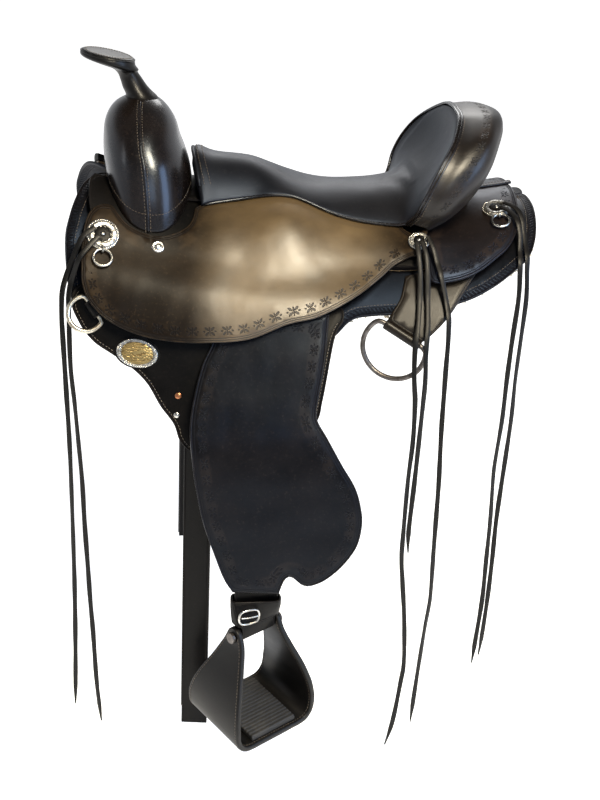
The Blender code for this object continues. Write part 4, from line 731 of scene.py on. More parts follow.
def front_dee_frame():
    lift = RIGGING_TOP + LAYER_GAP + KEEPER + RUNNING_GAP + FRONT_DEE_WIRE
    middle, along, normal = frame_on_barrel(*FRONT_DEE_BAR, lift)
    down = along.cross(normal)
    if down.z > 0:
        down = -down
    return middle, along, normal, down


def front_dee_shape():
    middle, along, normal, down = front_dee_frame()
    lean = math.radians(FRONT_DEE_LEAN)
    hang = down * math.cos(lean) - normal * math.sin(lean)
    return planar_tube(dee_path(FRONT_DEE_HALF, FRONT_DEE_CENTRE), middle, along, hang, FRONT_DEE_WIRE)


def keeper_shape():
    """Folded strap that holds the bar of the front dee."""
    middle, along, normal, down = front_dee_frame()
    reach = FRONT_DEE_WIRE + RUNNING_GAP + KEEPER / 2
    places = [(-KEEPER_LENGTH, -reach), (-KEEPER_LENGTH / 2, -reach)]
    places += [(reach * math.sin(t), -reach * math.cos(t)) for t in np.linspace(0, math.pi, 9)]
    places += [(-KEEPER_LENGTH / 2, reach), (-KEEPER_LENGTH, reach)]
    ups = [(down * b - normal * a).normalized() for a, b in steps_past(places)]
    path = [middle + down * a + normal * b for a, b in places]
    return ribbon(path, [along] * len(path), ups, KEEPER_WIDTH, KEEPER)


def rear_dee_frame():
    middle, along, _ = frame_on_barrel(*REAR_DEE_BAR, BAR_LIFT + HANGER / 2)
    hang = Vector((0, 0, -1))
    hang = (hang - along * hang.dot(along)).normalized()
    return middle, along, hang


def rear_dee_shape():
    middle, along, hang = rear_dee_frame()
    return planar_tube(dee_path(REAR_DEE_HALF, REAR_DEE_CENTRE), middle, along, hang, REAR_DEE_WIRE)


def concho_frame(place, lift_at):
    """Middle of a concho's back on the leather, and its outward normal."""
    _, x, s, gap = place
    near_places = [(x, s), (x + CONCHO_STEP, s), (x - CONCHO_STEP, s), (x, s + CONCHO_STEP)]
    a, b, c, lower = (barrel(*near, lift_at(*near)) for near in near_places)
    normal = (lower - a).cross(b - c).normalized()
    return a + normal * gap, normal


def ring_frame(which, lift_at):
    """Eye centre under the concho, and the ring's directions lying on the leather."""
    radius, x, s, _ = CONCHOS[which]
    origin, normal = concho_frame(CONCHOS[which], lift_at)
    down = barrel_down(x, s)
    down = (down - normal * down.dot(normal)).normalized()
    eye = origin + down * (radius + EYE_GAP) + normal * EYE_HEIGHT
    lean = math.radians(RING_LEAN[which])
    return eye, down * math.cos(lean) - normal * math.sin(lean), normal, down


def ring_axis(which, lift_at):
    _, hang, normal, _ = ring_frame(which, lift_at)
    return hang.cross(normal).normalized()


def concho_ring_shape(which, lift_at):
    eye, hang, _, _ = ring_frame(which, lift_at)
    across = ring_axis(which, lift_at)
    return planar_tube(circle(RING_RADIUS, 16), eye + hang * RING_RADIUS, across, hang, RING_WIRE)


def eye_shape(which, lift_at):
    eye, _, normal, down = ring_frame(which, lift_at)
    return planar_tube(circle(EYE_RADIUS, 10), eye, down, normal, EYE_WIRE)


def latigo_frame():
    """Middle of the lower bar that the hanging strap goes round."""
    return barrel(LATIGO_X, LINK_LOW_S, LINK_LOW_LIFT)


def latigo_width_direction():
    """Level direction in the surface of the rigging."""
    along = Vector((0, 0, 1)).cross(barrel_normal(LATIGO_X, LINK_LOW_S, LINK_LOW_LIFT))
    return along.normalized() * (1 if along.x > 0 else -1)


def latigo_shape(drop, back_drop):
    """Strap folded over the link, both ends hanging."""
    centre = latigo_frame()
    along = latigo_width_direction()
    out = along.cross(Vector((0, 0, 1)))
    reach = LINK_WIRE + RUNNING_GAP + LATIGO / 2
    places = [(reach, -drop * share) for share in (1.0, 0.75, 0.5, 0.25)]
    places += [(reach * math.cos(t), reach * math.sin(t)) for t in np.linspace(0, math.pi, 9)]
    places += [(-reach, -back_drop * share) for share in (0.25, 0.5, 0.75, 1.0)]
    path = [centre + out * away + Vector((0, 0, z)) for away, z in places]
    ups = [out * b - Vector((0, 0, a)) for a, b in unit(np.array(steps_past(places)))]
    return ribbon(path, [along] * len(path), ups, LATIGO_WIDTH, LATIGO)


def lace_route(lying, hanging):
    """Route of a lace: (x, s, height over the jockey's underside), then points of its hanging part."""
    points = [tuple(barrel(x * MM, s * MM, JOCKEY_LIFT + high * MM)) for x, s, high in lying]
    points += [tuple(Vector(place) * MM) for place in hanging]
    return [Vector(p) for p in smooth_run(points, STRING_STEP)]


STRINGS = {
    "string_front_a": (
        [(-326, 124, 13.8), (-337, 131, 12.6), (-347, 146, 10.8), (-359, 172, -4), (-367, 195, -11),
         (-370, 212, -11)],
        [(-371, -172, -86), (-370, -174, -119), (-367, -174, -207), (-365, -174, -267), (-364, -174, -329),
         (-363, -174, -459), (-363, -174, -527), (-364, -174, -614), (-366, -174, -713)],
    ),
    "string_front_b": (
        [(-322, 134, 16), (-332, 145, 17), (-341, 157, 16), (-349, 168, 14), (-354, 182, 1), (-359, 196, -8),
         (-361.5, 212, -9.5), (-361, 226, -8)],
        [(-361, -180, -110), (-360, -182, -160), (-356, -184, -207), (-352, -184, -267), (-348, -184, -329),
         (-346, -184, -393), (-343, -184, -459), (-340, -184, -527), (-337, -184, -579), (-333, -184, -668),
         (-327, -184, -738)],
    ),
    "string_mid_a": (
        [(105, 118, 21.2), (106, 128, 20.6), (107, 141, 16.4), (108, 158, 9.5), (107, 184, 0.5),
         (104, 212, 1), (101, 228, 2)],
        [(99, -222, -110), (100, -228, -150), (104, -228, -183), (106, -228, -244), (104, -228, -306),
         (104, -228, -402), (105, -228, -435), (109, -228, -469), (117, -228, -537), (122, -228, -608),
         (120, -228, -644), (113, -228, -717), (104, -228, -760)],
    ),
    "string_mid_b": (
        [(113, 119, 21.2), (116, 128, 20.6), (117, 141, 16.4), (118, 158, 9.5), (118, 184, 0),
         (117, 210, 0), (116, 230, 0)],
        [(114, -222, -110), (115, -230, -150), (115, -230, -183), (114, -230, -244), (113, -230, -306),
         (111, -230, -386), (113, -230, -420)],
    ),
    "string_mid_c": (
        [(120.5, 112, 21.8), (126, 124, 20.2), (131, 140, 12.6), (136, 162, 11), (142, 186, 0.5),
         (144, 203, 0)],
        [(145, -206, -75), (145, -214, -104), (145, -216, -140), (146, -216, -185), (147, -216, -230),
         (149, -216, -276), (151, -216, -323), (153, -216, -421), (155, -216, -505), (152, -216, -548),
         (147, -216, -637), (143, -216, -728)],
    ),
    "string_rear_a": (
        [(231, 72, 13), (240, 82, 13), (246, 93, 12), (249, 105, 10), (251, 122, -1), (249, 136, -7),
         (248, 150, -7)],
        [(248, -160, -23), (249, -164, -59), (247, -164, -118), (246, -164, -179), (246, -164, -241),
         (243, -164, -305), (243, -164, -337), (246, -164, -404), (247, -164, -472), (248, -164, -543),
         (245, -164, -615), (243, -164, -658)],
    ),
    "string_rear_b": (
        [(236, 64, 13), (246, 72, 13), (254, 84, 9.5), (258, 98, 4), (259, 114, -6), (259, 130, -8.4),
         (259, 142, -8.4)],
        [(259, -155, -23), (261, -160, -59), (260, -161, -118), (259, -161, -179), (260, -161, -241),
         (258, -161, -321), (256, -161, -404), (257, -161, -473), (257, -161, -543), (255, -161, -615),
         (253, -161, -645)],
    ),
}


# Shapes: vertices, faces, and for each vertex its border marks (along the edge, in from the edge)


def shape_of(verts, faces, marks=None, wrap=0.0):
    verts = np.array([tuple(v) for v in verts], float)
    marks = np.zeros((len(verts), 2)) + (0.0, 1.0) if marks is None else np.array(marks, float)
    return {"verts": verts, "faces": [tuple(f) for f in faces], "marks": marks, "wrap": wrap}


def mirrored(shape):
    return {
        "verts": shape["verts"] * (1, -1, 1), "faces": [f[::-1] for f in shape["faces"]],
        "marks": shape["marks"].copy(), "wrap": shape["wrap"],
    }


def joined(*shapes):
    faces, count = [], 0
    for shape in shapes:
        faces += [tuple(i + count for i in f) for f in shape["faces"]]
        count += len(shape["verts"])
    verts, marks = (np.concatenate([shape[key] for shape in shapes]) for key in ("verts", "marks"))
    return {"verts": verts, "faces": faces, "marks": marks, "wrap": shapes[0]["wrap"]}


def finer_grid(grid, rows, columns, closed=False):
    made = finer(grid, rows)
    return np.swapaxes(finer(np.swapaxes(made, 0, 1), columns, closed), 0, 1)


def grid_faces(rows, columns, loop_rows=False, loop_columns=False, start=0):
    """Four-sided faces of a grid of points; a loop meets its own start."""
    made = []
    for i in range(rows if loop_rows else rows - 1):
        a, b = start + i * columns, start + (i + 1) % rows * columns
        for j in range(columns if loop_columns else columns - 1):
            k = (j + 1) % columns
            made.append((a + j, a + k, b + k, b + j))
    return made


RIM_TURNS = (0.25, 0.5, 0.75)
RIM_SHARE = 0.9


def rim_rows(edge, neighbour, over, under):
    """Rounded rim past one border, between its outer and inner rows, and how far it reaches."""
    away = unit(edge - neighbour)
    half = (over - under) / 2
    reach = np.linalg.norm(half, axis=-1)[..., None]
    rows = []
    for turn in RIM_TURNS:
        c, s = math.cos(math.pi * turn), math.sin(math.pi * turn)
        rows.append(edge + half * c + away * reach * (s - 1) * RIM_SHARE)
    return rows, away * reach * RIM_SHARE


def grid_marks(middle, closed, edge_from):
    """(distance along the border, distance in from it) of each point of a grid."""
    rows, columns = middle.shape[:2]
    down, across = run_lengths(middle[:, columns // 2]), run_lengths(middle[rows // 2])
    down, across = np.broadcast_arrays(down[:, None], across[None, :])
    if edge_from == "last_column":
        return np.stack([down, across[:, -1:] - across], 2)
    if edge_from == "first_row":
        return np.stack([across, down], 2)
    sides = np.minimum(across, across[:, -1:] - across)
    ends = np.minimum(down, down[-1:] - down)
    return np.stack([np.where(sides < ends, down, across), ends if closed else np.minimum(sides, ends)], 2)


def shell(outer, inner, closed=False, times=(4, 4), edge_from="all"):
    """Leather body between two grids, made finer, with rounded rims."""
    outer = finer_grid(np.asarray(outer, float), *times, closed)
    inner = finer_grid(np.asarray(inner, float), *times, closed)
    middle = (outer + inner) / 2
    # pull the borders back by the rim's reach, so that the rim ends where the border was
    first_rows, first_pull = rim_rows(middle[0], middle[1], outer[0], inner[0])
    last_rows, last_pull = rim_rows(middle[-1], middle[-2], outer[-1], inner[-1])
    for grid in (outer, inner):
        grid[0] -= first_pull
        grid[-1] -= last_pull
    height, rims = len(outer), len(RIM_TURNS)
    loop = np.array([*outer[::-1], *first_rows, *inner, *last_rows[::-1]])
    count, columns = loop.shape[:2]
    faces = grid_faces(count, columns, loop_rows=True, loop_columns=closed)
    if not closed:
        # the two open ends close as strips between matching rows of the loop
        for j in (0, columns - 1):
            spots = [i * columns + j for i in range(count)]
            top, low = spots[:height][::-1], spots[height + rims : 2 * height + rims]
            for r in range(height - 1):
                face = (top[r], top[r + 1], low[r + 1], low[r])
                faces.append(face[::-1] if j else face)
            faces.append((top[0], low[0], *spots[height : height + rims][::-1]))
            faces.append((top[-1], *spots[2 * height + rims :][::-1], low[-1]))
    order = [*range(height)[::-1], *[0] * rims, *range(height), *[height - 1] * rims]
    marks = grid_marks(middle, closed, edge_from)[order]
    return shape_of(loop.reshape(-1, 3), faces, marks.reshape(-1, 2))


def loft(rings, closed=False, marks=None):
    """Skin over rings of as many points each; it closes on itself, or its ends are capped."""
    count, total = len(rings[0]), len(rings)
    faces = grid_faces(total, count, loop_rows=closed, loop_columns=True)
    if not closed:
        faces.append(tuple(range(count))[::-1])
        faces.append(tuple(range((total - 1) * count, total * count)))
    return shape_of([p for ring in rings for p in ring], faces, marks)


CORNERS = ((1, 1, 0), (-1, 1, 90), (-1, -1, 180), (1, -1, 270))
GROOVE = 0.35 * MM
GROOVE_AT = 3.2 * MM
GROOVE_HALF = 1.2 * MM
GROOVED_FROM = 14 * MM
STRAP_FINE = 4


def corner_run(corner, half_a, half_b, radius, steps):
    """Points round one corner of a rounded rectangle."""
    side_a, side_b, start = corner
    made = []
    for turn in [math.radians(start + 90 / (steps - 1) * k) for k in range(steps)]:
        a = side_a * (half_a - radius) + radius * math.cos(turn)
        made.append((a, side_b * (half_b - radius) + radius * math.sin(turn)))
    return made


def strap_section(width, thickness):
    """Rounded cross-section of a strap, with an edge groove on its faces: (across, up) points."""
    half, thick = width / 2, thickness / 2
    reach = half - GROOVE_AT
    groove = [(reach + GROOVE_HALF, 0.0), (reach, GROOVE), (reach - GROOVE_HALF, 0.0)]
    groove += [(-a, depth) for a, depth in groove[::-1]]
    points = []
    for corner in CORNERS:
        points += corner_run(corner, half, thick, min(thickness * 0.42, 1.3 * MM), 4)
        side = corner[0]
        if width > GROOVED_FROM and side == corner[1]:
            points += [(side * a, side * (thick - depth)) for a, depth in groove]
    return points


def ribbon(path, sides, ups, width, thickness, ends=1.0):
    """Strap along a path, with rounded edges and an edge groove."""
    path, sides, ups = (finer([tuple(v) for v in run], STRAP_FINE) for run in (path, sides, ups))
    sides, ups = unit(sides), unit(ups)
    section = strap_section(width, thickness)
    lengths = run_lengths(path)
    rings, marks = [], []
    for k in range(len(path)):
        room = min(lengths[k], lengths[-1] - lengths[k])
        narrow = 1 - (1 - ends) * max(0.0, 1 - room / (width * 0.8))
        rings.append([path[k] + sides[k] * a * narrow + ups[k] * b for a, b in section])
        marks += [(lengths[k], width / 2 - abs(a)) for a, b in section]
    return loft(rings, marks=marks)


def planar_tube(points, centre, right, up, radius, sides=14, times=3):
    """Closed round wire from (right, up) points in a plane."""
    points = finer(points, times, closed=True)
    centre, right, up = (np.array(v, float) for v in (centre, right, up))
    normal = np.cross(right, up)
    rings = []
    for (a, b), (ahead_a, ahead_b) in zip(points, heading(points, closed=True)):
        out = right * ahead_b - up * ahead_a
        rings.append(ring_of(centre + right * a + up * b, out * radius, normal * radius, sides))
    return loft(rings, closed=True)


def tube(points, radius, sides=10, closed=False, times=2, taper=0.0):
    """Round cord or piping along points."""
    points = finer([tuple(p) for p in points], times, closed)
    ahead = heading(points, closed)
    side = np.cross(ahead[0], (0.13, 0.21, 0.97))
    rings, marks = [], []
    lengths = run_lengths(points)
    for k, place in enumerate(points):
        side = unit(side - ahead[k] * np.dot(side, ahead[k]))
        size = radius
        if taper and not closed:
            size *= min(1.0, 0.35 + min(lengths[k], lengths[-1] - lengths[k]) / taper)
        rings.append(ring_of(place, side * size, np.cross(ahead[k], side) * size, sides))
        marks += [(lengths[k], 1.0)] * sides
    return loft(rings, closed=closed, marks=marks)


def turned(profile, origin, axis, sides=56, wave=None):
    """Solid of revolution from (radius, height) points; wave scales a radius round the turn."""
    axis = Vector(axis).normalized()
    first = axis.orthogonal().normalized()
    second = axis.cross(first)
    verts, faces, rings, marks = [], [], [], []
    for radius, height in profile:
        centre = Vector(origin) + axis * height
        if radius == 0:
            rings.append([len(verts)] * sides)
            verts.append(centre)
            marks.append((0.0, 0.0))
            continue
        rings.append(list(range(len(verts), len(verts) + sides)))
        for turn in turns(sides):
            size = radius * (wave(turn, radius) if wave else 1.0)
            verts.append(centre + (first * math.cos(turn) + second * math.sin(turn)) * size)
            marks.append((turn / (2 * math.pi), radius))
    for low, high in zip(rings, rings[1:]):
        for k in range(sides):
            face = [low[k], low[(k + 1) % sides], high[(k + 1) % sides], high[k]]
            face = [v for i, v in enumerate(face) if v != face[i - 1]]
            if len(face) > 2:
                faces.append(tuple(face))
    return shape_of(verts, faces, marks)


# Leather panels

EDGE_PROFILE = ((0.9, 0.0), (0.25, 0.16), (0.0, 0.5), (0.25, 0.84), (0.9, 1.0))
PANEL_PITCH = 9 * MM


def inside_all(points, ring):
    """Which points lie inside the ring."""
    ring = np.array(ring)
    x0, y0 = ring[:, 0], ring[:, 1]
    x1, y1 = np.roll(x0, -1), np.roll(y0, -1)
    px, py = points[:, 0:1], points[:, 1:2]
    crosses = (y0 > py) != (y1 > py)
    safe = np.where(y1 == y0, 1.0, y1 - y0)
    hits = crosses & (px < (x1 - x0) * (py - y0) / safe + x0)
    return hits.sum(1) % 2 == 1


def border_marks(points, ring):
    """(distance along the ring, distance in from it) of each point."""
    a = np.array(ring)
    b = np.roll(a, -1, axis=0)
    lengths = np.linalg.norm(b - a, axis=1)
    starts = np.concatenate([[0], np.cumsum(lengths)[:-1]])
    made = []
    for p in np.asarray(points, float):
        t = np.clip(np.sum((p - a) * (b - a), 1) / np.maximum(lengths**2, 1e-12), 0, 1)
        away = np.linalg.norm(a + (b - a) * t[:, None] - p, axis=1)
        k = int(np.argmin(away))
        made.append((starts[k] + lengths[k] * t[k], away[k]))
    return np.array(made)


def filled(ring, pitch):
    """Triangles that fill a ring, with a staggered lattice inside it."""
    flat = np.array(ring)
    low, high = flat.min(0), flat.max(0)
    lattice = []
    for j, s in enumerate(np.arange(low[1], high[1], pitch * 0.87)):
        for x in np.arange(low[0] + (j % 2) * pitch / 2, high[0], pitch):
            lattice.append((x, s))
    lattice = np.array(lattice)
    lattice = lattice[inside_all(lattice, ring)]
    if len(lattice):
        lattice = lattice[border_marks(lattice, ring)[:, 1] > 0.45 * pitch]
    points = [tuple(p) for p in flat] + [tuple(p) for p in lattice]
    edges = [(i, (i + 1) % len(flat)) for i in range(len(flat))]
    found = delaunay_2d_cdt([Vector(p) for p in points], edges, [], 1, 1e-7)
    if len(found[0]) != len(points):
        return None
    return [tuple(p) for p in found[0]], [tuple(f) for f in found[2]]


SWAYS = ((61, 37, 0.0), (23, -71, 1.7), (19, 113, 0.0))
BASE_PITCH = 1.4


def slab(ring, under, over, creases=(), pitch=PANEL_PITCH, repeat=0.0, sway=0.0):
    """Panel between two mappings of an outline, with a rounded edge and pressed edge lines.
    A crease is (distance in from the edge, half width, depth), and repeat is the pitch of the
    border, which the edge length is rounded to."""
    runs = run_lengths(list(ring) + [ring[0]])
    total, count = runs[-1], len(ring)
    scale = round(total / repeat) * repeat / total if repeat else 1.0
    profile = [(d * MM, share, 0.0) for d, share in EDGE_PROFILE]
    for at, half, depth in creases:
        profile += [(at - half, 1.0, 0.0), (at, 1.0, depth), (at + half, 1.0, 0.0)]
    top = filled(inset(ring, profile[-1][0]), pitch)
    while top is None and len(profile) > len(EDGE_PROFILE):
        profile = profile[:-3]
        top = filled(inset(ring, profile[-1][0]), pitch)
    base = filled(inset(ring, profile[0][0]), pitch * BASE_PITCH)

    def lay(x, s, share, depth):
        low, high = Vector(under(x, s)), Vector(over(x, s))
        rise = 0.0
        if sway and share == 1.0:
            rise = sway * sum(math.sin(x * a + s * b + c) for a, b, c in SWAYS) / len(SWAYS)
        return low.lerp(high, share) + (high - low).normalized() * (rise - depth)

    verts = [lay(x, s, share, depth) for d, share, depth in profile for x, s in inset(ring, d)]
    marks = [(run * scale, d) for d, _, _ in profile for run in runs[:-1]]
    faces = grid_faces(len(profile), count, loop_columns=True)
    for (flat, triangles), share, border in ((top, 1.0, (len(profile) - 1) * count), (base, 0.0, 0)):
        start = len(verts) - count
        verts += [lay(x, s, share, 0.0) for x, s in flat[count:]]
        marks += [(along * scale, edge) for along, edge in border_marks(flat[count:], ring)]
        for triangle in triangles:
            face = tuple(border + i if i < count else start + i for i in triangle)
            faces.append(face if share else face[::-1])
    return shape_of(verts, faces, marks, wrap=total * scale)


def panel(ring, low, high, **lay):
    """Leather panel on the barrel between two heights, each a number or a function of (x, s)."""
    def at(height):
        return lambda x, s: barrel(x, s, height(x, s) if callable(height) else height)
    return slab(ring, at(low), at(high), **lay)


# Pieces


def mesh_from(name, shape):
    """Mesh with outward faces and the border marks as a UV map."""
    mesh = bpy.data.meshes.new(name)
    mesh.from_pydata([tuple(v) for v in shape["verts"]], [], shape["faces"])
    corners = np.empty(len(mesh.loops), np.int32)
    mesh.loops.foreach_get("vertex_index", corners)
    marks = shape["marks"][corners]
    if shape["wrap"]:
        starts = np.empty(len(mesh.polygons), np.int32)
        totals = np.empty(len(mesh.polygons), np.int32)
        mesh.polygons.foreach_get("loop_start", starts)
        mesh.polygons.foreach_get("loop_total", totals)
        highest = np.maximum.reduceat(marks[:, 0], starts)
        highest = np.repeat(highest, totals)
        marks[:, 0] += np.where(highest - marks[:, 0] > shape["wrap"] / 2, shape["wrap"], 0.0)
    layer = mesh.uv_layers.new(name="border")
    layer.data.foreach_set("uv", marks.astype(np.float32).reshape(-1))
    work = bmesh.new()
    work.from_mesh(mesh)
    bmesh.ops.remove_doubles(work, verts=work.verts, dist=2e-6)
    bmesh.ops.dissolve_degenerate(work, edges=work.edges, dist=1e-7)
    bmesh.ops.recalc_face_normals(work, faces=work.faces)
    work.to_mesh(mesh)
    work.free()
    return mesh


def piece(name, shape, look, body="saddle", replaces=None, sharp=50):
    """Finished piece in its place, riding on a body."""
    mesh = mesh_from(name, shape)
    mesh.shade_smooth()
    mesh.set_sharp_from_angle(angle=math.radians(sharp))
    mesh.materials.append(look)
    obj = bpy.data.objects.new(name, mesh)
    bpy.context.scene.collection.objects.link(obj)
    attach(obj, body)
    if replaces:
        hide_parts(replaces)
    return obj


def pair(stem, shape, look, body=None, replaces=None, sharp=50):
    """The same piece on the near side and, turned over, on the off side."""
    made = []
    for side, form in (("near", shape), ("off", mirrored(shape))):
        rides = f"{side}_{body}" if body else "saddle"
        stands = f"{side}_{replaces}" if replaces else None
        made.append(piece(f"{side}_{stem}", form, look, rides, stands, sharp))
    return made


# Node trees: a small arithmetic of their sockets, and the materials made with it


class Value:
    """A socket of the node tree being made; sums with it add Math nodes."""

    tree = None

    def __init__(self, socket):
        self.socket = socket

    def __add__(self, other):
        return worked("ADD", self, other)

    def __sub__(self, other):
        return worked("SUBTRACT", self, other)

    def __rsub__(self, other):
        return worked("SUBTRACT", other, self)

    def __mul__(self, other):
        return worked("MULTIPLY", self, other)

    def __truediv__(self, other):
        return worked("DIVIDE", self, other)

    __radd__ = __add__
    __rmul__ = __mul__


def plug(socket, value):
    """Sets an input to a plain value, or links it to a socket or to a node's first output."""
    if isinstance(value, bpy.types.Node):
        value = Value(value.outputs[0])
    if isinstance(value, Value):
        Value.tree.links.new(value.socket, socket)
    elif isinstance(value, tuple) and len(value) == 3 and socket.type == "RGBA":
        socket.default_value = (*value, 1.0)
    else:
        socket.default_value = value


def node(kind, inputs=None, **settings):
    made = Value.tree.nodes.new(kind)
    for key, value in settings.items():
        setattr(made, key, value)
    for key, value in (inputs or {}).items():
        plug(made.inputs[key], value)
    return made


def worked(operation, *values):
    made = node("ShaderNodeMath", operation=operation)
    for socket, value in zip(made.inputs, values):
        plug(socket, value)
    return Value(made.outputs[0])


def greater_of(*values):
    result = values[0]
    for value in values[1:]:
        result = worked("MAXIMUM", result, value)
    return result


def rising(value, low, high):
    """0 below low, 1 above high, smooth between."""
    limits = {"Value": value, "From Min": low, "From Max": high}
    made = node("ShaderNodeMapRange", limits, interpolation_type="SMOOTHSTEP")
    return Value(made.outputs[0])


def falling(value, low, high):
    return 1.0 - rising(value, low, high)


def line_at(value, place, half_width):
    return falling(worked("ABSOLUTE", value - place), half_width * 0.35, half_width)


def object_places(stretch=(1, 1, 1), turn=(0, 0, 0)):
    made = node("ShaderNodeTexCoord")
    if stretch == (1, 1, 1) and turn == (0, 0, 0):
        return Value(made.outputs["Object"])
    places = {"Vector": Value(made.outputs["Object"]), "Scale": stretch, "Rotation": turn}
    return Value(node("ShaderNodeMapping", places).outputs[0])


def place_along(axis):
    """Position of the shaded point along one axis of the frame."""
    parts = node("ShaderNodeSeparateXYZ", {0: object_places()})
    return Value(parts.outputs["XYZ".index(axis)])


def border_places():
    """(distance along the border, distance in from it)."""
    found = node("ShaderNodeUVMap", uv_map="border")
    parts = node("ShaderNodeSeparateXYZ", {0: Value(found.outputs[0])})
    return Value(parts.outputs[0]), Value(parts.outputs[1])


def cloud(scale, detail=3.0, roughness=0.5, stretch=(1, 1, 1)):
    inputs = {"Vector": object_places(stretch), "Scale": scale, "Detail": detail, "Roughness": roughness}
    return Value(node("ShaderNodeTexNoise", inputs).outputs[0])


def cells(scale):
    return Value(node("ShaderNodeTexVoronoi", {"Vector": object_places(), "Scale": scale}).outputs[0])


def mixed(share, first, second):
    made = node("ShaderNodeMix", data_type="RGBA")
    plug(made.inputs["Factor"], share)
    plug(made.inputs[6], first)
    plug(made.inputs[7], second)
    return Value(made.outputs[2])


def raised(height, distance, strength):
    inputs = {"Height": height, "Distance": distance, "Strength": strength}
    return Value(node("ShaderNodeBump", inputs).outputs[0])


def finish(colour, roughness, normal=None, **fixed):
    """Principled material; what is fixed is set on the shader's own sockets."""
    shader = Value.tree.nodes["Principled BSDF"]
    values = {"Base Color": colour, "Roughness": roughness}
    if normal is not None:
        values["Normal"] = normal
    values |= {key.replace("_", " "): value for key, value in fixed.items()}
    for key, value in values.items():
        plug(shader.inputs[key], value)


def begin(name):
    made = bpy.data.materials.new(name)
    made.use_nodes = True
    Value.tree = made.node_tree
    return made


# Stamped borders

FLOWER_PITCH = 23.5 * MM
PETAL_PLACE = (3.9 * MM, 2.9 * MM)
PETAL_HALVES = (3.3 * MM, 1.55 * MM)
PETAL_TURN = math.radians(38)
STEM_ACROSS = (0.35 * MM, 0.95 * MM)
STEM_ALONG = (4.6 * MM, 5.6 * MM)
BUD_PLACE = 7.4 * MM
BUD_HALVES = (1.5 * MM, 1.1 * MM)
SEED_PITCH = 5.2 * MM
SEED_SLANT = 0.55


def flower(along, edge, middle):
    """Stamp of four petals and a stem, repeated along the border at a distance in from it."""
    across = worked("ABSOLUTE", (worked("FRACT", along / FLOWER_PITCH) - 0.5) * FLOWER_PITCH)
    over = worked("ABSOLUTE", edge - middle)
    p, q = across - PETAL_PLACE[0], over - PETAL_PLACE[1]
    c, s = math.cos(PETAL_TURN), math.sin(PETAL_TURN)
    lengthwise = (p * c + q * s) / PETAL_HALVES[0]
    sideways = (q * c - p * s) / PETAL_HALVES[1]
    petal = falling(lengthwise * lengthwise + sideways * sideways, 0.55, 1.15)
    stem = falling(across, *STEM_ACROSS) * falling(over, *STEM_ALONG)
    bud_x, bud_y = (across - BUD_PLACE) / BUD_HALVES[0], over / BUD_HALVES[1]
    bud = falling(bud_x * bud_x + bud_y * bud_y, 0.5, 1.2)
    return greater_of(petal, stem, bud)


def basket(along, edge, low, high):
    """Fine row of slanted seeds between two edge distances."""
    across = worked("FRACT", (along + edge * SEED_SLANT) / SEED_PITCH) - 0.5
    seed = falling(worked("ABSOLUTE", across), 0.16, 0.34)
    inside = rising(edge, low, low + 0.8 * MM) * falling(edge, high - 0.8 * MM, high)
    return seed * inside


BORDERS = {
    "jockey": {"lines": (2.6 * MM, 5.0 * MM), "flower": 13.5 * MM, "stretch": (0.700, 1.190)},
    "fender": {"lines": (3.0 * MM, 6.2 * MM), "flower": 16.5 * MM},
    "rear": {"lines": (3.0 * MM, 5.6 * MM), "flower": 15.0 * MM, "stretch": (0.245, 0.500)},
    "roll": {"lines": (3.4 * MM, 6.6 * MM), "flower": 36.0 * MM},
    "skirt": {"lines": (3.0 * MM, 11.0 * MM), "basket": (3.9 * MM, 9.8 * MM)},
    "plain": {"lines": (3.0 * MM,)},
}
LINE_HALF = 0.9 * MM
LINE_DEPTH = 1.4
STAMP_DEPTH = 5.0
EDGE_BLACK = (0.006, 0.005, 0.005)
CUT_BLACK = (0.004, 0.003, 0.003)
WHITE = (1, 1, 1)
DULL_FRONT = 0.08


def stamp_of(border, along, edge):
    """Stamp of a border at its distance in from the edge, or None."""
    if "basket" in border:
        return basket(along, edge, *border["basket"])
    if "flower" not in border:
        return None
    stamp = flower(along, edge, border["flower"])
    if "stretch" in border:
        first, last = border["stretch"]
        stamp = stamp * rising(along, first - 1 * MM, first) * falling(along, last, last + 1 * MM)
    return stamp


def bordered(border, colour, rough, height, worn, patches):
    """Colour, roughness and height with a border's dressed edge, pressed lines and stamp."""
    along, edge = border_places()
    colour = mixed(falling(edge, 0.2 * MM, 1.6 * MM) * 0.8, colour, EDGE_BLACK)
    pressed = greater_of(*(line_at(edge, place, LINE_HALF) for place in border["lines"]))
    rubbed = line_at(edge, border["lines"][0] - 1.3 * MM, LINE_HALF) * rising(cloud(80.0), 0.4, 0.6)
    colour = mixed(rubbed * 0.35, colour, worn)
    stamp = stamp_of(border, along, edge)
    if stamp is not None:
        halo = falling(worked("ABSOLUTE", edge - border.get("flower", 7 * MM)), 5 * MM, 9 * MM)
        colour = mixed(halo * rising(patches, 0.42, 0.62) * 0.35, colour, worn)
        pressed = greater_of(pressed, stamp)
        height = height - stamp * STAMP_DEPTH
    return mixed(pressed * 0.85, colour, CUT_BLACK), rough + pressed * 0.25, height - pressed * LINE_DEPTH


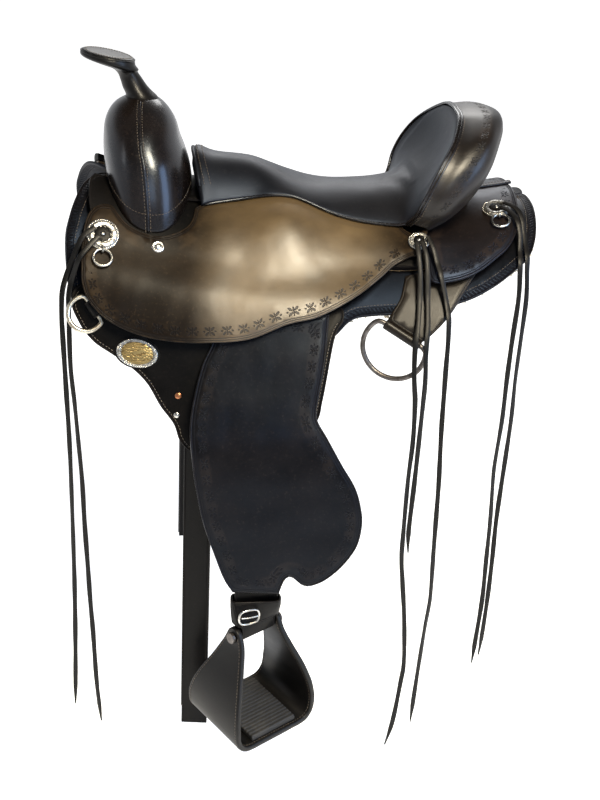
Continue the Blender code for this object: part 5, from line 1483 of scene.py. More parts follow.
def leather(
    name, deep, warm, worn, roughness=0.36, border=None, coat=0.25, coat_rough=0.22, grain=0.5, sheen=0.0,
    sheen_tint=WHITE, gloss=0.4, painted_highlight_middle=None, shine_tint=WHITE, waves=0,
):
    """Finished harness leather: pores, soft creases, dressed dark edges, wear, a stamped border, and a
    painted highlight.
    """
    made = begin(name)
    mottle, patches = cloud(7.0, 4.0, 0.6), cloud(26.0, 3.0, 0.55)
    fibres, pores = cloud(240.0, 4.0, 0.65), cells(900.0)
    creases = cloud(62.0, 5.0, 0.72, stretch=(0.55, 1.0, 1.35))
    colour = mixed(rising(mottle * 0.55 + patches * 0.3 + fibres * 0.15, 0.36, 0.64), deep, warm)
    colour = mixed(rising(fibres, 0.56, 0.72) * 0.35, colour, worn)
    # painted highlight: a paler tan mixed into the colour over a middle span of x, with the specular level
    # raised in that span too
    if painted_highlight_middle:
        start, end, tone = painted_highlight_middle
        x = place_along("X")
        middle = rising(x, *start) * falling(x, *end)
        colour = mixed(middle * (mottle * 0.5 + patches * 0.5), colour, tone)
        gloss = middle * gloss + DULL_FRONT
    height = pores * (0.10 * grain) + fibres * (0.30 * grain) + creases * 0.55
    if waves:
        soft = cloud(10.0, 2.0, 0.45, stretch=(1.25, 1.0, 0.8)) * waves
        height = height + soft + cloud(34.0, 2.0) * (0.10 * waves)
    rough = patches * 0.16 + fibres * 0.12 + (roughness - 0.14)
    if border:
        colour, rough, height = bordered(BORDERS[border], colour, rough, height, worn, patches)
    normal = raised(height, 0.16 * MM, 0.9)
    # a blue Specular_Tint paints a blue reflection into the sheen
    finish(
        colour, rough, normal, Coat_Weight=coat, Coat_Roughness=coat_rough, Sheen_Weight=sheen,
        Sheen_Tint=sheen_tint, Sheen_Roughness=0.4, Specular_IOR_Level=gloss, Coat_Normal=normal,
        Specular_Tint=shine_tint,
    )
    return made


def metal(name, bright, dull, roughness, relief):
    made = begin(name)
    tarnish = rising(cloud(60.0, 4.0, 0.6), 0.38, 0.68)
    scratches = cloud(420.0, 2.0, 0.5, stretch=(1.0, 0.12, 0.6))
    colour = mixed(tarnish, bright, dull)
    normal = raised(scratches * 0.3 + cloud(260.0, 3.0) * relief, 0.10 * MM, 0.8)
    finish(colour, tarnish * 0.16 + scratches * 0.10 + (roughness - 0.08), normal, Metallic=1.0)
    return made


def engraved(name, bright, dark, roughness):
    """Bright metal with cut scrolls whose floors are blackened."""
    made = begin(name)
    ripple = {"Vector": object_places(), "Scale": 95.0, "Distortion": 9.0, "Detail": 1.5, "Detail Scale": 1.2}
    scrolls = node("ShaderNodeTexWave", ripple, wave_type="RINGS")
    cut = rising(Value(scrolls.outputs[1]), 0.62, 0.86)
    beads = falling(cells(620.0), 0.2, 0.55)
    tone = rising(cloud(90.0), 0.35, 0.65)
    colour = mixed(cut * 0.75, mixed(tone * 0.35, bright, dark), dark)
    normal = raised((1.0 - cut) * 1.0 + beads * 0.25, 0.14 * MM, 0.8)
    finish(colour, cut * 0.25 + tone * 0.12 + roughness, normal, Metallic=1.0)
    return made


def wool(name, pale, shade):
    made = begin(name)
    clumps = cloud(38.0, 4.0, 0.6)
    hairs = cloud(520.0, 3.0, 0.7, stretch=(1.0, 0.4, 0.4))
    colour = mixed(rising(clumps * 0.7 + hairs * 0.3, 0.35, 0.65), shade, pale)
    colour = mixed(rising(cloud(9.0, 3.0), 0.5, 0.75) * 0.4, colour, (0.42, 0.33, 0.22))
    normal = raised(hairs + clumps * 0.8, 0.7 * MM, 1.0)
    finish(colour, hairs * 0.1 + 0.85, normal, Sheen_Weight=0.35, Sheen_Tint=pale, Specular_IOR_Level=0.2)
    return made


def rawhide_look(name):
    made = begin(name)
    stain = cloud(14.0, 5.0, 0.65)
    grain = cloud(170.0, 4.0, 0.6, stretch=(0.3, 1.0, 1.0))
    colour = mixed(rising(stain, 0.35, 0.7), (0.46, 0.33, 0.19), (0.27, 0.17, 0.09))
    colour = mixed(rising(grain, 0.5, 0.75) * 0.4, colour, (0.58, 0.46, 0.30))
    finish(colour, grain * 0.2 + 0.42, raised(grain + stain * 0.6, 0.35 * MM, 0.8), Coat_Weight=0.15)
    return made


def rubber_look(name):
    made = begin(name)
    dust = cloud(30.0, 5.0, 0.65)
    fine = cells(1400.0)
    colour = mixed(rising(dust, 0.45, 0.75) * 0.5, (0.014, 0.014, 0.015), (0.060, 0.056, 0.050))
    finish(colour, dust * 0.25 + 0.52, raised(fine + dust, 0.12 * MM, 0.8))
    return made


def thread_look(name, tone, shade):
    made = begin(name)
    ply = {"Vector": object_places((1, 1, 1), (0.6, 0.4, 0.2)), "Scale": 620.0, "Distortion": 0.6}
    strand = Value(node("ShaderNodeTexWave", ply).outputs[1])
    colour = mixed(strand, shade, tone)
    finish(colour, cloud(90.0) * 0.2 + 0.5, raised(strand, 0.15 * MM, 0.8), Sheen_Weight=0.2)
    return made


JOCKEY_BROWN = ((0.0060, 0.0038, 0.0022), (0.016, 0.0100, 0.0052), (0.050, 0.032, 0.016))
HANGER_BROWN = ((0.0041, 0.0026, 0.0015), (0.0109, 0.0068, 0.0035), (0.034, 0.0218, 0.0109))
# colour of the painted highlight on the middle of the jockeys
PAINTED_HIGHLIGHT_TAN = (0.150, 0.098, 0.042)
DEEP_BROWN = ((0.0028, 0.0020, 0.0018), (0.0075, 0.0050, 0.0038), (0.026, 0.017, 0.012))
FENDER_BROWN = ((0.0025, 0.0021, 0.0020), (0.0060, 0.0046, 0.0040), (0.022, 0.017, 0.014))
STRAP_BLACK = ((0.0015, 0.0014, 0.0014), (0.0035, 0.0030, 0.0030), (0.013, 0.010, 0.009))
# painted reflection: these blue tints, and the blue shine_tint values given inline below, colour the
# leathers' specular sheen blue in place of a cool light
PAINTED_COOL_SHEEN = (0.50, 0.66, 1.0)
PAINTED_BLUE_SHINE = (0.42, 0.60, 1.0)

# the jockeys' paler tan middle is a painted highlight
JOCKEY_LEATHER = leather(
    "jockey_leather", *JOCKEY_BROWN, roughness=0.40, border="jockey", coat=0.06, coat_rough=0.30, gloss=0.55,
    waves=26, painted_highlight_middle=((-0.21, -0.13), (0.01, 0.10), PAINTED_HIGHLIGHT_TAN),
)
REAR_LEATHER = leather(
    "rear_jockey_leather", *DEEP_BROWN, roughness=0.38, border="rear", coat=0.0, gloss=0.26,
    shine_tint=PAINTED_BLUE_SHINE, waves=14,
)
SKIRT_LEATHER = leather(
    "skirt_leather", *STRAP_BLACK, roughness=0.40, border="skirt", coat=0.0, gloss=0.13,
    shine_tint=PAINTED_BLUE_SHINE, waves=10,
)
FENDER_LEATHER = leather(
    "fender_leather", *FENDER_BROWN, roughness=0.34, border="fender", coat=0.02, gloss=0.17,
    shine_tint=(0.56, 0.72, 1.0), waves=18,
)
ROLL_LEATHER_LOOK = leather(
    "roll_leather", *DEEP_BROWN, roughness=0.38, border="roll", coat=0.05, gloss=0.35, waves=10,
)
SWELL_LEATHER = leather(
    "swell_leather", *DEEP_BROWN, roughness=0.28, coat=0.25, coat_rough=0.14, gloss=0.35,
    shine_tint=(0.7, 0.82, 1.0),
)
HORN_LEATHER_LOOK = leather("horn_leather", *STRAP_BLACK, roughness=0.38, coat=0.06, gloss=0.2)
STRAP_LEATHER = leather("strap_leather", *STRAP_BLACK, roughness=0.42, border="plain", coat=0.02, gloss=0.12)
RIGGING_LEATHER = leather(
    "rigging_leather", *STRAP_BLACK, roughness=0.42, border="plain", coat=0.0, gloss=0.09,
)
HANGER_LEATHER = leather(
    "hanger_leather", *HANGER_BROWN, roughness=0.40, border="plain", coat=0.02, gloss=0.24,
)
STIRRUP_LEATHER_LOOK = leather(
    "stirrup_cover_leather", *STRAP_BLACK, roughness=0.44, coat=0.05, grain=0.8, gloss=0.25,
)
LACE_LEATHER = leather("lace_leather", *STRAP_BLACK, roughness=0.46, coat=0.04, grain=0.8, gloss=0.2)
BACK_LEATHER = leather("cantle_back_leather", *DEEP_BROWN, roughness=0.38, border="plain", coat=0.2)
SEAT_LEATHER = leather(
    "padded_seat_leather", (0.0030, 0.0027, 0.0028), (0.0065, 0.0057, 0.0057), (0.020, 0.017, 0.016),
    roughness=0.46, coat=0.05, coat_rough=0.35, grain=0.7, sheen=0.04, sheen_tint=PAINTED_COOL_SHEEN, gloss=0.25,
    shine_tint=PAINTED_COOL_SHEEN,
)
SILVER = metal("polished_silver", (0.66, 0.65, 0.62), (0.30, 0.29, 0.27), 0.24, 0.5)
SILVER_CUT = engraved("cut_silver", (0.60, 0.59, 0.56), (0.07, 0.065, 0.06), 0.26)
DARK_STEEL = metal("dark_steel", (0.16, 0.15, 0.145), (0.07, 0.06, 0.055), 0.40, 1.0)
BRIGHT_STEEL = metal("bright_steel", (0.66, 0.62, 0.52), (0.34, 0.30, 0.24), 0.30, 0.6)
BRASS = engraved("cut_brass", (0.52, 0.38, 0.16), (0.07, 0.045, 0.02), 0.28)
COPPER = metal("copper", (0.60, 0.26, 0.13), (0.25, 0.10, 0.05), 0.32, 0.5)
WOOL = wool("wool_fleece", (0.78, 0.71, 0.58), (0.50, 0.43, 0.32))
RAWHIDE = rawhide_look("rawhide")
RUBBER = rubber_look("tread_rubber")
THREAD = thread_look("waxed_thread", (0.085, 0.060, 0.038), (0.030, 0.020, 0.013))
PALE_THREAD = thread_look("pale_thread", (0.15, 0.125, 0.095), (0.07, 0.055, 0.04))


# Stage, light and camera


def area_light(name, place, aim, size, power, colour):
    lamp = bpy.data.lights.new(name, "AREA")
    lamp.shape = "RECTANGLE"
    lamp.size, lamp.size_y = size
    lamp.energy = power
    lamp.color = colour
    obj = bpy.data.objects.new(name, lamp)
    obj.location = place
    obj.rotation_mode = "QUATERNION"
    obj.rotation_quaternion = (Vector(aim) - Vector(place)).to_track_quat("-Z", "Y")
    bpy.context.scene.collection.objects.link(obj)


FLOOR_GAP = 2 * MM
FLOOR_HALF = 9.0
FLOOR_TONES = ((0.84, 0.84, 0.84), (0.88, 0.88, 0.88))
FLOOR_GLOW = 0.62
FRONT_GLOW = 0.24
GLOW_FROM = (-2.4, -0.70)
WORLD_COLOUR = (0.95, 0.97, 1.0, 1.0)
WORLD_STRENGTH = 0.12
HORIZON_STRENGTH = 0.62
LEAST_PALE = 0.35
DARK_AHEAD = (-0.85, -0.45)
PALE_BAND = (0.25, 0.60)
LIGHTS = [
    ("key", (0.30, -1.28, 1.30), (-0.02, -0.12, -0.05), (0.34, 0.85), 62.0, (1.0, 0.88, 0.66)),
    ("window", (2.4, -1.6, 0.7), (0.0, 0.0, -0.1), (1.4, 1.8), 50.0, (0.46, 0.66, 1.0)),
    ("front", (0.5, -3.4, 0.9), (0.0, 0.0, -0.2), (1.2, 0.7), 11.0, (0.55, 0.74, 1.0)),
    ("left", (-2.6, -0.8, 1.2), (-0.1, 0.0, -0.1), (0.6, 1.0), 4.0, (1.0, 0.97, 0.92)),
    ("back", (0.3, 2.4, 1.6), (0.0, 0.0, -0.1), (1.6, 1.0), 30.0, (1.0, 0.98, 0.95)),
]


def white_floor():
    mesh = bpy.data.meshes.new("floor")
    corners = [(-FLOOR_HALF, -FLOOR_HALF), (FLOOR_HALF, -FLOOR_HALF), (FLOOR_HALF, FLOOR_HALF),
               (-FLOOR_HALF, FLOOR_HALF)]
    mesh.from_pydata([(x, y, CAD_BOX[0].z - FLOOR_GAP) for x, y in corners], [], [(0, 1, 2, 3)])
    mesh.materials.append(begin("studio_floor"))
    shader = Value.tree.nodes["Principled BSDF"]
    plug(shader.inputs["Emission Color"], (1.0, 1.0, 1.0))
    plug(shader.inputs["Emission Strength"], rising(place_along("Y"), *GLOW_FROM) * FLOOR_GLOW + FRONT_GLOW)
    finish(mixed(cloud(0.7, 2.0), *FLOOR_TONES), 0.9)
    floor = bpy.data.objects.new("floor", mesh)
    bpy.context.scene.collection.objects.link(floor)


def studio_world():
    """Dim all round, with a pale band along the horizon."""
    world = bpy.data.worlds.new("studio")
    bpy.context.scene.world = world
    world.use_nodes = True
    Value.tree = world.node_tree
    parts = node("ShaderNodeSeparateXYZ", {0: Value(node("ShaderNodeTexCoord").outputs["Generated"])})
    _, y, z = (Value(socket) for socket in parts.outputs)
    pale = (rising(y, *DARK_AHEAD) * (1 - LEAST_PALE) + LEAST_PALE) * falling(z, *PALE_BAND)
    background = world.node_tree.nodes["Background"]
    background.inputs["Color"].default_value = WORLD_COLOUR
    plug(background.inputs["Strength"], pale * HORIZON_STRENGTH + WORLD_STRENGTH)


# Camera of the photograph: angles in degrees, focal length in pixels of a frame 600 x 800
CAMERA_AZIMUTH = -6.5
CAMERA_ELEVATION = 24.0
CAMERA_ROLL = 2.9
FOCAL_PIXELS = 1342.0
METRES_PER_PIXEL = 1.43e-3
FRAME_WIDTH, FRAME_HEIGHT = 600, 800
ANCHOR = Vector((0.0, 0.0, 0.060))
ANCHOR_PIXEL = (330, 180)
SENSOR = 36.0


def make_camera():
    a, e, r = (math.radians(v) for v in (CAMERA_AZIMUTH, CAMERA_ELEVATION, CAMERA_ROLL))
    back = Vector((math.sin(a) * math.cos(e), -math.cos(a) * math.cos(e), math.sin(e)))
    level = Vector((math.cos(a), math.sin(a), 0))
    rise = back.cross(level)
    right = level * math.cos(r) + rise * math.sin(r)
    up = rise * math.cos(r) - level * math.sin(r)
    across = (ANCHOR_PIXEL[0] - FRAME_WIDTH / 2) / FOCAL_PIXELS
    down = (ANCHOR_PIXEL[1] - FRAME_HEIGHT / 2) / FOCAL_PIXELS
    ray = right * across - up * down - back
    place = ANCHOR - ray * (METRES_PER_PIXEL * FOCAL_PIXELS)
    camera = bpy.data.objects.new("camera", bpy.data.cameras.new("camera"))
    turn = Matrix((right, up, back)).transposed().to_4x4()
    turn.translation = place
    camera.matrix_world = turn
    camera.data.sensor_fit = "VERTICAL"
    camera.data.sensor_height = SENSOR
    camera.data.lens = FOCAL_PIXELS * SENSOR / FRAME_HEIGHT
    camera.data.clip_start, camera.data.clip_end = 0.01, 40.0
    bpy.context.scene.collection.objects.link(camera)
    bpy.context.scene.camera = camera


make_camera()
white_floor()
studio_world()
for light in LIGHTS:
    area_light(*light)
bpy.context.scene.view_settings.view_transform = "Standard"


# Saddle strings: flat laces, first of what is made

LACE_WIDTH = 7.0 * MM
LACE_THICKNESS = 2.4 * MM
LACE_TIP = 30 * MM
LACE_SIDES = 12
LACE_SQUARE = (0.45, 0.6)


def lace(name, lying, hanging, seed):
    """Flat lace that lies on the leather, then hangs and turns a little, down to its narrow tip."""
    route = [tuple(p) for p in lace_route(lying, hanging)]
    points = finer(route, 4)
    ahead = heading(points)
    up = np.array(barrel_normal(lying[0][0] * MM, lying[0][1] * MM))
    lengths = run_lengths(points)
    half, thick = LACE_WIDTH / 2, LACE_THICKNESS / 2
    section = [
        (powered(math.cos(t), LACE_SQUARE[0]) * half, powered(math.sin(t), LACE_SQUARE[1]) * thick)
        for t in turns(LACE_SIDES)
    ]
    rings = []
    for k, length in enumerate(lengths):
        up = unit(up - ahead[k] * np.dot(up, ahead[k]))
        side = np.cross(ahead[k], up)
        turn = smoothstep(0.06, 0.30, length) * 0.5 * math.sin(length * 11 + seed * 1.9)
        across = side * math.cos(turn) + up * math.sin(turn)
        over = np.cross(across, ahead[k])
        narrow = 0.25 + 0.75 * min(1.0, (lengths[-1] - length) / LACE_TIP)
        narrow *= 1 + 0.06 * math.sin(length * 83 + seed)
        rings.append([points[k] + across * a * narrow + over * b for a, b in section])
    stem = name[len("string"):]
    obj = piece("near_lace" + stem, loft(rings), LACE_LEATHER, "saddle", "near_" + name)


for seed, (name, (lying, hanging)) in enumerate(STRINGS.items()):
    lace(name, lying, hanging, seed)


# What repeats: stitches, beads and locks of wool on points, by Geometry Nodes


def repeat_tree(kind):
    """Tree that sets one small shape on each point, turned to the point's own ahead and up."""
    tree = Value.tree = bpy.data.node_groups.new(kind + "_on_points", "GeometryNodeTree")
    tree.interface.new_socket("Geometry", in_out="OUTPUT", socket_type="NodeSocketGeometry")
    tree.interface.new_socket("Geometry", in_out="INPUT", socket_type="NodeSocketGeometry")
    for label, value in (("Length", 3 * MM), ("Width", 1 * MM), ("Height", 1 * MM), ("Unevenness", 0.1)):
        socket = tree.interface.new_socket(label, in_out="INPUT", socket_type="NodeSocketFloat")
        socket.default_value = value
    tree.interface.new_socket("Seed", in_out="INPUT", socket_type="NodeSocketInt")
    tree.interface.new_socket("Material", in_out="INPUT", socket_type="NodeSocketMaterial")
    given = {socket.name: Value(socket) for socket in node("NodeGroupInput").outputs if socket.name}
    size = node("ShaderNodeCombineXYZ", {0: given["Length"], 1: given["Width"], 2: given["Height"]})
    if kind == "lock":
        sizes = {"Vertices": 5, "Side Segments": 3, "Radius Top": 0.12, "Radius Bottom": 0.5, "Depth": 1.0}
        shape = node("GeometryNodeMeshCone", sizes)
    else:
        shape = node("GeometryNodeMeshUVSphere", {"Segments": 8, "Rings": 5, "Radius": 0.5})
    shape = node("GeometryNodeTransform", {"Geometry": shape, "Rotation": (0.0, math.pi / 2, 0.0)})
    shape = node("GeometryNodeTransform", {"Geometry": shape, "Scale": size})
    turn = None
    for name, settings in (("ahead", {"axis": "X"}), ("up", {"axis": "Z", "pivot_axis": "X"})):
        found = node("GeometryNodeInputNamedAttribute", {"Name": name}, data_type="FLOAT_VECTOR")
        before = {"Rotation": turn} if turn else {}
        turn = node("FunctionNodeAlignRotationToVector", {**before, "Vector": found}, **settings)
    limits = {2: 1.0 - given["Unevenness"], 3: given["Unevenness"] + 1.0, "Seed": given["Seed"]}
    spread = Value(node("FunctionNodeRandomValue", limits, data_type="FLOAT").outputs[1])
    sockets = {"Points": given["Geometry"], "Instance": shape, "Rotation": turn, "Scale": spread}
    made = node("GeometryNodeInstanceOnPoints", sockets)
    for kind_of_node in ("GeometryNodeRealizeInstances", "GeometryNodeSetShadeSmooth"):
        made = node(kind_of_node, {"Geometry": made})
    made = node("GeometryNodeSetMaterial", {"Geometry": made, "Material": given["Material"]})
    node("NodeGroupOutput", {0: made})
    return tree


TREES = {kind: repeat_tree(kind) for kind in ("bead", "lock")}


def repeated(name, kind, places, look, sizes, body="saddle", slot=None, unevenness=0.08, seed=3):
    """Mesh of one small shape repeated at (point, ahead, up) places; sizes: length, width, height."""
    mesh = bpy.data.meshes.new(name + "_points")
    mesh.from_pydata([tuple(p) for p, _, _ in places], [], [])
    for key, index in (("ahead", 1), ("up", 2)):
        layer = mesh.attributes.new(key, "FLOAT_VECTOR", "POINT")
        rows = np.array([tuple(place[index]) for place in places], np.float32)
        layer.data.foreach_set("vector", rows.reshape(-1))
    holder = bpy.data.objects.new(name + "_points", mesh)
    bpy.context.scene.collection.objects.link(holder)
    modifier = holder.modifiers.new("Repeat", "NODES")
    modifier.node_group = TREES[kind]
    values = dict(zip(("Length", "Width", "Height"), sizes), Unevenness=unevenness, Seed=seed, Material=look)
    for item in TREES[kind].interface.items_tree:
        if item.in_out == "INPUT" and item.name in values:
            modifier[item.identifier] = values[item.name]
    graph = bpy.context.evaluated_depsgraph_get()
    made = bpy.data.meshes.new_from_object(holder.evaluated_get(graph))
    bpy.data.objects.remove(holder)
    made.name = name
    obj = bpy.data.objects.new(name, made)
    bpy.context.scene.collection.objects.link(obj)
    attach(obj, body)


def turned_place(place):
    return tuple(flip(Vector(v)) for v in place)


def repeated_pair(stem, kind, places, *sizes, **options):
    """The same small shapes on the near side and, turned over, on the off side."""
    repeated("near_" + stem, kind, places, *sizes, **options)
    repeated("off_" + stem, kind, [turned_place(place) for place in places], *sizes, **options)


STITCH = 3.4 * MM
STITCH_PITCH = 4.6 * MM
STITCH_WIDTH = 1.0 * MM
SEWN = {}


def sew(points, ups, body="saddle", both=True, thread="thread", pitch=STITCH_PITCH, closed=False):
    """Row of stitches along points on a surface with its normals; both sews the off side too."""
    points, ups = (np.array([tuple(p) for p in run]) for run in (points, ups))
    if closed:
        points, ups = (np.concatenate([run, run[:1]]) for run in (points, ups))
    lengths = run_lengths(points)
    marks = np.arange(pitch / 2, lengths[-1], pitch)

    def at(values, shift=0.0):
        return np.stack([np.interp(marks + shift, lengths, values[:, k]) for k in range(3)], 1)

    near, off = (body, body) if body == "saddle" else (f"near_{body}", f"off_{body}")
    for p, a, u in zip(at(points), at(points, 1 * MM) - at(points, -1 * MM), at(ups)):
        place = (Vector(p), Vector(a).normalized(), Vector(u).normalized())
        SEWN.setdefault((near, thread), []).append(place)
        if both:
            SEWN.setdefault((off, thread), []).append(turned_place(place))


def sew_border(ring, distance, lift, keep, thread="thread"):
    """Stitches at a distance in from a panel's edge and a height over the barrel, where keep(x, s) holds."""
    inner = inset(ring, distance)
    step = 2 * MM
    runs = [[]]
    for x, s in inner + inner[:1]:
        if keep(x, s):
            down = barrel(x, s + step, lift) - barrel(x, s - step, lift)
            along = barrel(x + step, s, lift) - barrel(x - step, s, lift)
            runs[-1].append((barrel(x, s, lift), down.cross(along).normalized()))
        else:
            runs.append([])
    for run in runs:
        if len(run) > 2:
            sew(*zip(*run), thread=thread)


# Fork cover and horn

FORK_TIMES = (4, 5)


def fork_surface():
    """Outside and inside of the fork's leather, and its outward normals."""
    outer = fork_grid()
    normals = grid_normals(outer, True)
    if np.sum(normals * (outer - outer.mean(axis=(0, 1)))) < 0:
        normals = -normals
    normals[0, :, 2] = 0
    normals[0] = unit(normals[0])
    inner = outer - normals * COVER
    for grid, lift in ((inner, JOCKEY_LIFT), (outer, JOCKEY_LIFT + TOUCH_GAP)):
        grid[0, :, 2] = [fork_floor(x, y, lift) for x, y, _ in grid[0]]
    return outer, inner, normals


fork_outer, fork_inner, fork_normals = fork_surface()
fork_form = shell(fork_outer, fork_inner, closed=True, times=FORK_TIMES, edge_from="first_row")
piece("fork_cover_leather", fork_form, SWELL_LEATHER, replaces="fork_cover")

SEAM_COLUMN = 3 * FORK_COLUMNS // 4
SEAM_SHIFT = 3.4 * MM
seam = finer(fork_outer[:-1, SEAM_COLUMN], 4)
seam_ups = finer(fork_normals[:-1, SEAM_COLUMN], 4)
seam_side = np.cross(heading(seam), seam_ups)
welt = tube(seam + seam_ups * 0.2 * MM, 1.7 * MM, times=1, taper=8 * MM)
pair("swell_welt", welt, SWELL_LEATHER)
for side in (-1, 1):
    sew(seam + seam_side * SEAM_SHIFT * side + seam_ups * 0.25 * MM, seam_ups)
foot = finer(fork_outer[1], 5, closed=True)
foot_ups = finer(fork_normals[1], 5, closed=True)
sew(foot + np.array((0, 0, -3.5 * MM)) + foot_ups * 0.3 * MM, foot_ups, both=False, closed=True)


HORN_FOOT = [(-269, 163.0, 33, 42, 0), (-268.5, 168.5, 26, 31, 0)]
HORN_SIDES = 48
HORN_TOP = [(0.97, 0.9), (0.90, 1.4), (0.75, 1.7), (0.5, 1.9), (0.25, 2.0), (0.05, 2.05)]


def horn_rings():
    """Rings of the horn's leather, flared at the foot on to the swell."""
    levels = [(*profile, tilt) for profile, tilt in zip(HORN_PROFILE, HORN_TILT)]
    rings = []
    for x, z, half_long, half_wide, tilt in finer(HORN_FOOT + levels, 5):
        tilt = math.radians(tilt)
        along = Vector((math.cos(tilt), 0, -math.sin(tilt))) * half_long * MM
        rings.append(ring_of(Vector((x, 0, z)) * MM, along, Vector((0, half_wide * MM, 0)), HORN_SIDES))
    return rings


horn = horn_rings()
horn_tilt = math.radians(HORN_TILT[-1])
horn_up = Vector((math.sin(horn_tilt), 0, math.cos(horn_tilt)))
rim_points = horn[-1]
cap_middle = sum(rim_points, Vector()) / HORN_SIDES


def cap_ring(share, rise, step=1):
    return [cap_middle + (p - cap_middle) * share + horn_up * rise * MM for p in rim_points[::step]]


horn += [cap_ring(*level) for level in HORN_TOP]
piece("horn_leather", loft(horn), HORN_LEATHER_LOOK, replaces="horn_cover", sharp=60)
sew(cap_ring(0.88, 1.8), [horn_up] * HORN_SIDES, both=False, closed=True, pitch=3.8 * MM)
cap_welt = tube(cap_ring(1.012, -1.5, 3), 1.3 * MM, closed=True)
piece("horn_cap_welt", cap_welt, HORN_LEATHER_LOOK)


# Seat

SEAT_ROUNDING = (26, 60)
SEAM_REACH = 4 * MM
SEAT_SWELL_CAP = 2.2 * MM
SEAT_PRESSURE = 4.0
SEAT_FRAMES = 20


def rounded_share(count, power):
    return np.sqrt(np.clip(1 - np.abs(np.linspace(-1, 1, count)) ** power, 0, 1))


def seat_shape():
    """Top and underside of the padded seat, which meet in a rounded rim all round."""
    top, under = (finer_grid(grid, 4, 5) for grid in seat_faces())
    across, lengthwise = (rounded_share(*sizes) for sizes in zip(top.shape[1::-1], SEAT_ROUNDING))
    open_share = across[None, :, None] * lengthwise[:, None, None]
    middle = (top + under) / 2
    return middle + (top - middle) * open_share, middle + (under - middle) * open_share


def closed_pair(top, under):
    """Body between two grids that meet at their borders."""
    rows, columns = top.shape[:2]
    faces = grid_faces(rows, columns) + [f[::-1] for f in grid_faces(rows, columns, start=rows * columns)]
    return shape_of([*top.reshape(-1, 3), *under.reshape(-1, 3)], faces)


def swollen(obj, held, cap):
    """Lets cloth fill the piece for a few frames; no point moves further than the cap."""
    scene = bpy.context.scene
    rest = np.array([v.co for v in obj.data.vertices])
    group = obj.vertex_groups.new(name="seam")
    group.add(held, 1.0, "REPLACE")
    cloth = obj.modifiers.new("Cloth", "CLOTH")
    cloth.settings.vertex_group_mass = group.name
    cloth.settings.use_pressure = True
    cloth.settings.uniform_pressure_force = SEAT_PRESSURE
    cloth.settings.effector_weights.gravity = 0.0
    cloth.settings.quality = 4
    cloth.point_cache.frame_start, cloth.point_cache.frame_end = 1, SEAT_FRAMES
    for number in range(1, SEAT_FRAMES + 1):
        scene.frame_set(number)
    graph = bpy.context.evaluated_depsgraph_get()
    moved = np.array([v.co for v in obj.evaluated_get(graph).data.vertices])
    obj.modifiers.remove(cloth)
    obj.vertex_groups.remove(group)
    scene.frame_set(1)
    step = moved - rest
    length = np.linalg.norm(step, axis=1)[:, None]
    step *= np.minimum(1.0, cap / np.maximum(length, 1e-9))
    obj.data.vertices.foreach_set("co", (rest + step).astype(np.float32).reshape(-1))
    obj.data.update()


seat_top, seat_under = seat_shape()
seat_form = closed_pair(seat_top, seat_under)
seat = piece("seat_padding", seat_form, SEAT_LEATHER, replaces="seat", sharp=180)

seam_points = np.concatenate([seat_top[(0, -1), :].reshape(-1, 3), seat_top[:, (0, -1)].reshape(-1, 3)])
held = [
    v.index for v in seat.data.vertices
    if np.min(np.linalg.norm(seam_points - v.co, axis=1)) < SEAM_REACH
]
swollen(seat, held, SEAT_SWELL_CAP)

for stem, column, sign in (("near", 0, -1), ("off", -1, 1)):
    run = seat_top[2:46:2, column] + np.array((0, sign * 0.3 * MM, 0.2 * MM))
    welt = tube(run, 1.9 * MM, times=1, taper=10 * MM)
    piece(f"{stem}_seat_welt", welt, SWELL_LEATHER)
lip = seat_top[1, 6:-6:2] + np.array((-0.5 * MM, 0, 1.6 * MM))
piece("seat_front_bead", tube(lip, 2.6 * MM, times=1, taper=12 * MM), SEAT_LEATHER)
for row, drop in ((3, 0.4), (5, 0.3)):
    run = seat_top[row, 6:-6]
    ups = facing(seat_top, (0, 0, 1))[row, 6:-6]
    sew(run + ups * drop * MM, ups, both=False)


# Cantle roll and the leather on the cantle's back

FOOT_SPREAD = 1.012
FOOT_GAP = 0.6 * MM
FOOT_LEATHER = 2.2 * MM
FOOT_ROWS = 3
PIPING_SIDE = (-1.0, 0, 0.6)


def cantle_foot(front, back):
    """Leather round the foot of the board, tucked down between the rear jockeys."""
    around = np.concatenate([front[:, :1], back, front[:, -1:]], axis=1) * (1, FOOT_SPREAD, 1)
    out = facing(around, (1, 0, 0))
    return shell(around + out * (FOOT_GAP + FOOT_LEATHER), around + out * FOOT_GAP)


board_front, board_back, back = cantle_shapes()
foot_leather = cantle_foot(board_front[:FOOT_ROWS], board_back[:FOOT_ROWS])
roll = roll_shape()
piece("cantle_roll_leather", roll, ROLL_LEATHER_LOOK, replaces="cantle_roll", sharp=60)
piece("cantle_foot_leather", foot_leather, STRAP_LEATHER, sharp=60)
piece("cantle_back_leather", back, BACK_LEATHER, replaces="cantle_back", sharp=60)

# piping in the seam between the dish and the roll, two cords side by side
top = seat_faces()[0]
rim = finer(both_halves([*top[FIRST_DISH_ROW:, -1], top[-1, RIM_COLUMN]]), 5)
rim_ahead = heading(rim)
stations = [np.array(station, float) * MM for station in ROLL_STATIONS]
out = finer(both_halves([station[1] - station[0] for station in stations]), 5)
out = unit(out - rim_ahead * np.sum(out * rim_ahead, axis=1)[:, None])
lift = np.cross(rim_ahead, out)
lift *= np.sign(np.sum(lift * np.array(PIPING_SIDE), axis=1))[:, None]
for stem, aside, up, radius in (("inner", 0.2, 1.0, 2.0), ("outer", 4.4, 1.2, 1.8)):
    cord = tube(rim + out * aside * MM + lift * up * MM, radius * MM, times=1, taper=10 * MM)
    piece("cantle_piping_" + stem, cord, SWELL_LEATHER)
sew(rim + out * 7.6 * MM + lift * 0.6 * MM, lift, both=False)


# Panels on the barrel

